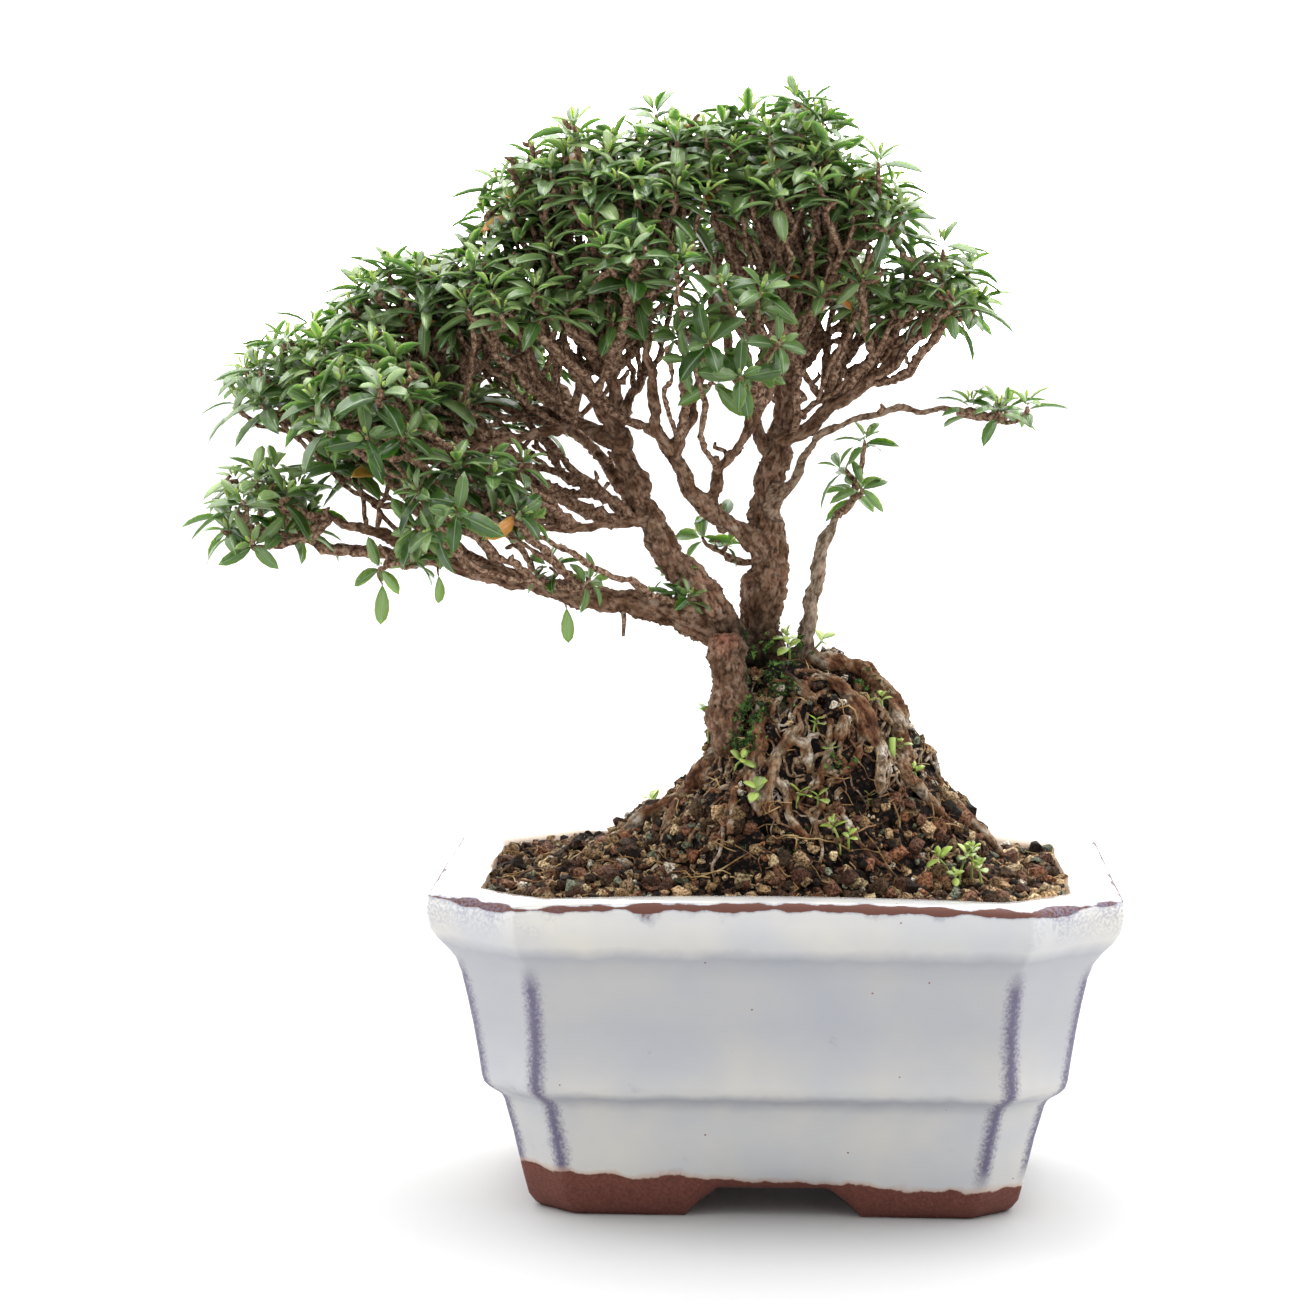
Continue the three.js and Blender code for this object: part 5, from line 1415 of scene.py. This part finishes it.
# %% Sprouts and suckers
SPROUTS = [  # foot, height, size of leaf, pairs of leaves
    ((3, -6.4, 127.3), 4, 0.36, 2), ((1.5, -2, 131.5), 5, 0.4, 3), ((10, -1, 129), 5, 0.42, 2),
    ((7.8, -23.7, 113.5), 2, 0.3, 2), ((-9.1, -22.6, 103.5), 3, 0.36, 2), ((12.3, -25, 107.3), 2, 0.28, 2),
    ((-4, -30.5, 95), 5, 0.48, 2), ((5.4, -28.9, 96.5), 2.5, 0.42, 2), ((10.7, -27.3, 96.3), 2, 0.4, 2),
    ((22.1, -22.8, 95.1), 1.5, 0.26, 2), ((30.6, -13.5, 105.8), 3, 0.3, 2), ((25.8, -13, 118.3), 2, 0.3, 2),
    ((-20.7, -6.9, 111), 6, 0.5, 2), ((33, -12, 100), 2, 0.3, 2), ((-12, 26, 104), 4, 0.4, 2),
    ((20, 24, 106), 4, 0.4, 3), ((-30, 20, 88), 3, 0.4, 2),
]
CLUMPS = {  # the two largest seedlings, which the solids have too: the same for each of their stems
    "seedling_right": [((44, -25, 80), 6.5, 0.42, 3), ((40.5, -24, 80), 6, 0.38, 3),
                       ((47.5, -26, 79), 5, 0.4, 3), ((43, -27, 80), 4, 0.32, 3),
                       ((46, -23, 80), 7.5, 0.34, 3)],
    "seedling_front": [((15, -32, 86), 6, 0.34, 3), ((17, -31, 86), 3.5, 0.28, 3)],
}
CUT_SHOOT = Vector((27.3, -16, 104))  # a thick green sucker that was cut back
HANGING = [((-48.9, -19, 141), 8.5), ((-91, -27, 147), 9.5), ((-78, -26, 149), 7)]  # foot, length
TWIG_STUB = [Vector((-36, -15.5, 142)), Vector((-35.6, -15.8, 138)), Vector((-35.8, -16, 134))]
SPROUT_AGE = 0.76
SPROUT_STEM = 0.28  # radius
SPROUT_LIFTS = (18, 26)  # degrees that its lowest leaves are lifted, and how much more each pair above is
SPROUT_LENGTHS, SPROUT_BREADTH = (10, 2.5), 1.9  # its lowest leaves in mm, how much less each pair above has
chance = random.Random(31)


def grow_sprout(bm, stems, foot, height, size, pairs):
    """A short stem on the ground with pairs of soft leaves at its top."""
    at, _, _, _ = ground.find_nearest(Vector(foot))
    lean = Vector((chance.gauss(0, 0.25), chance.gauss(-0.2, 0.2), 1)).normalized()
    top = at + lean * height
    stem = smooth_line([at - lean, at + UP * height * 0.4, top], 1)
    tube(stems, stem, [SPROUT_STEM] * len(stem), sides=5)
    spin = chance.uniform(0, FULL_TURN)
    for number in range(pairs):
        stand = Matrix.Translation(top + lean * number * 0.8) @ turned_to(UP, lean)
        lift = Matrix.Rotation(-math.radians(SPROUT_LIFTS[0] + SPROUT_LIFTS[1] * number), 4, "Y")
        for side in (0, 1):
            turn = spin + number * math.pi / 2 + side * math.pi + chance.gauss(0, 0.2)
            long = (SPROUT_LENGTHS[0] - SPROUT_LENGTHS[1] * number) * size * chance.uniform(*BREADTHS)
            stretch = Matrix.Diagonal((long, long * SPROUT_BREADTH, long, 1))
            place = stand @ Matrix.Rotation(turn, 4, "Z") @ lift @ stretch
            kind = leaves[chance.choice((0, 1, 3))]
            strew(bm, kind, place, (SPROUT_AGE + chance.gauss(0, 0.1), 0.5, 0, 1))


def finish_sprouts(name, plants, stems, solids=()):
    """Grows plants, and makes their leaves one piece and their stems another."""
    soft = bmesh.new()
    for plant in plants:
        grow_sprout(soft, stems, *plant)
    finish_piece(soft, f"{name}_leaves", leaf_finish, solids)
    finish_piece(stems, f"{name}_stems", stem_finish)


def green_stem(tree, place):
    """A young stem: smooth, pale green, olive in patches."""
    height = add(tree, "TexNoise", {"Vector": place, "Scale": 1 / 3})
    colour = add(tree, "ValToRGB", [height], stops=[(0.35, "#7c8a45"), (0.65, "#9cbc57")])
    return {"Base Color": colour, "Roughness": 0.5}


stem_finish = make_material(green_stem)
hanging, stalks = bmesh.new(), bmesh.new()
for foot, length in HANGING:
    down = Vector((chance.gauss(0, 0.12), chance.gauss(0, 0.1), -1)).normalized()
    turn = turned_to(Vector((1, 0, 0)), down)
    place = Matrix.Translation(foot) @ turn @ Matrix.Rotation(chance.uniform(1.2, 1.9), 4, "X")
    strew(hanging, leaves[0], place @ Matrix.Diagonal((length, length * 1.1, length, 1)), (0.5, 0.5, 0, 1))
    bough = min((node[0] for node in nodes), key=lambda at: (at - Vector(foot)).length)
    stalk = smooth_line([bough, bough.lerp(Vector(foot), 0.6) + Vector((-0.8, 0, 0.6)), foot], 1)
    tube(stalks, stalk, [0.4 - 0.2 * k / len(stalk) for k in range(len(stalk))], sides=5)
tube(stalks, TWIG_STUB, [0.8, 0.6, 0.4], sides=5)
finish_piece(hanging, "hanging_leaves", leaf_finish)
finish_piece(stalks, "hanging_stalks", twig_finish)
cut_stems = bmesh.new()
tube(cut_stems, [CUT_SHOOT, CUT_SHOOT + UP * 3, CUT_SHOOT + UP * 6.5], [0.7, 0.85, 0.8], sides=8)
finish_sprouts("sprouts", SPROUTS, cut_stems)
for name, plants in CLUMPS.items():
    finish_sprouts(name, plants, bmesh.new(), [name])

# %% [markdown]
# ## The stage
#
# The floor is a plain pale sheet under soft white light, as in a light tent: bright cloth overhead and low
# down where the sheet sweeps up, dimmer at the sides, and darkest where the camera looks in through the
# opening. One small softbox above adds a soft shadow. The camera looks slightly down on the pot from about
# 0.8 m with a longish lens.

# %% Floor, light and camera
sheet = bmesh.new()
bmesh.ops.create_grid(sheet, x_segments=1, y_segments=1, size=6)
floor = new_object("floor", mesh_from(sheet, "floor"))
paper = bpy.data.materials.new("matte_paper")
paper.use_nodes = True
paper_inputs = paper.node_tree.nodes["Principled BSDF"].inputs
paper_inputs["Base Color"].default_value = linear("#b8b8b8")
paper_inputs["Roughness"].default_value = 0.9
floor.data.materials.append(paper)

SKY_STRENGTH = 6.8  # straight overhead; the ramp makes the sides of the tent dimmer
FRONT_SHARE = 0.2  # the side that the camera stands on is the tent's dark opening
world = bpy.data.worlds.new("light_tent")
world.use_nodes = True
sky = world.node_tree
_, way_back, way_up = add(sky, "SeparateXYZ", [add(sky, "TexCoord")])
overhead = add(sky, "ValToRGB", [way_up], stops=[
    (0.0, "#ececec"), (0.06, "#ececec"), (0.1, "#9a9a9a"), (0.32, "#9a9a9a"), (0.92, "#eaeaea")])
opening = add(sky, "MapRange", {
    "Value": way_back, "From Min": -0.75, "From Max": 0.45, "To Min": FRONT_SHARE, "To Max": 1.0})
brightness = add(sky, "VectorMath", {0: overhead, 3: opening}, operation="SCALE")
background = sky.nodes["Background"]
sky.links.new(brightness, background.inputs["Color"])
background.inputs["Strength"].default_value = SKY_STRENGTH
bpy.context.scene.world = world


def aim(stand, at, heading):
    """Puts a lamp or the camera at a place in metres, looking along a heading."""
    stand.location = at
    stand.rotation_euler = heading.to_track_quat("-Z", "Y").to_euler()


lamp_data = bpy.data.lights.new("softbox_above", "AREA")
lamp_data.shape = "SQUARE"
lamp_data.size = 0.5
lamp_data.energy = 2
lamp = new_object("softbox_above", lamp_data)
aim(lamp, Vector((-0.1, 0.1, 1.2)), Vector((0.1, -0.1, -1.1)))

CAMERA_AT = Vector((10.1, -800.5, 219.6))  # mm from the pot's middle
CAMERA_HEADING = Vector((-0.0501, 0.9924, -0.1123))
camera_data = bpy.data.cameras.new("camera")
camera_data.lens = 93.4
camera_data.sensor_width = 36
camera = new_object("camera", camera_data)
aim(camera, CAMERA_AT * MM + POT_MIDDLE, CAMERA_HEADING)
bpy.context.scene.camera = camera
bpy.context.scene.view_settings.view_transform = "Standard"
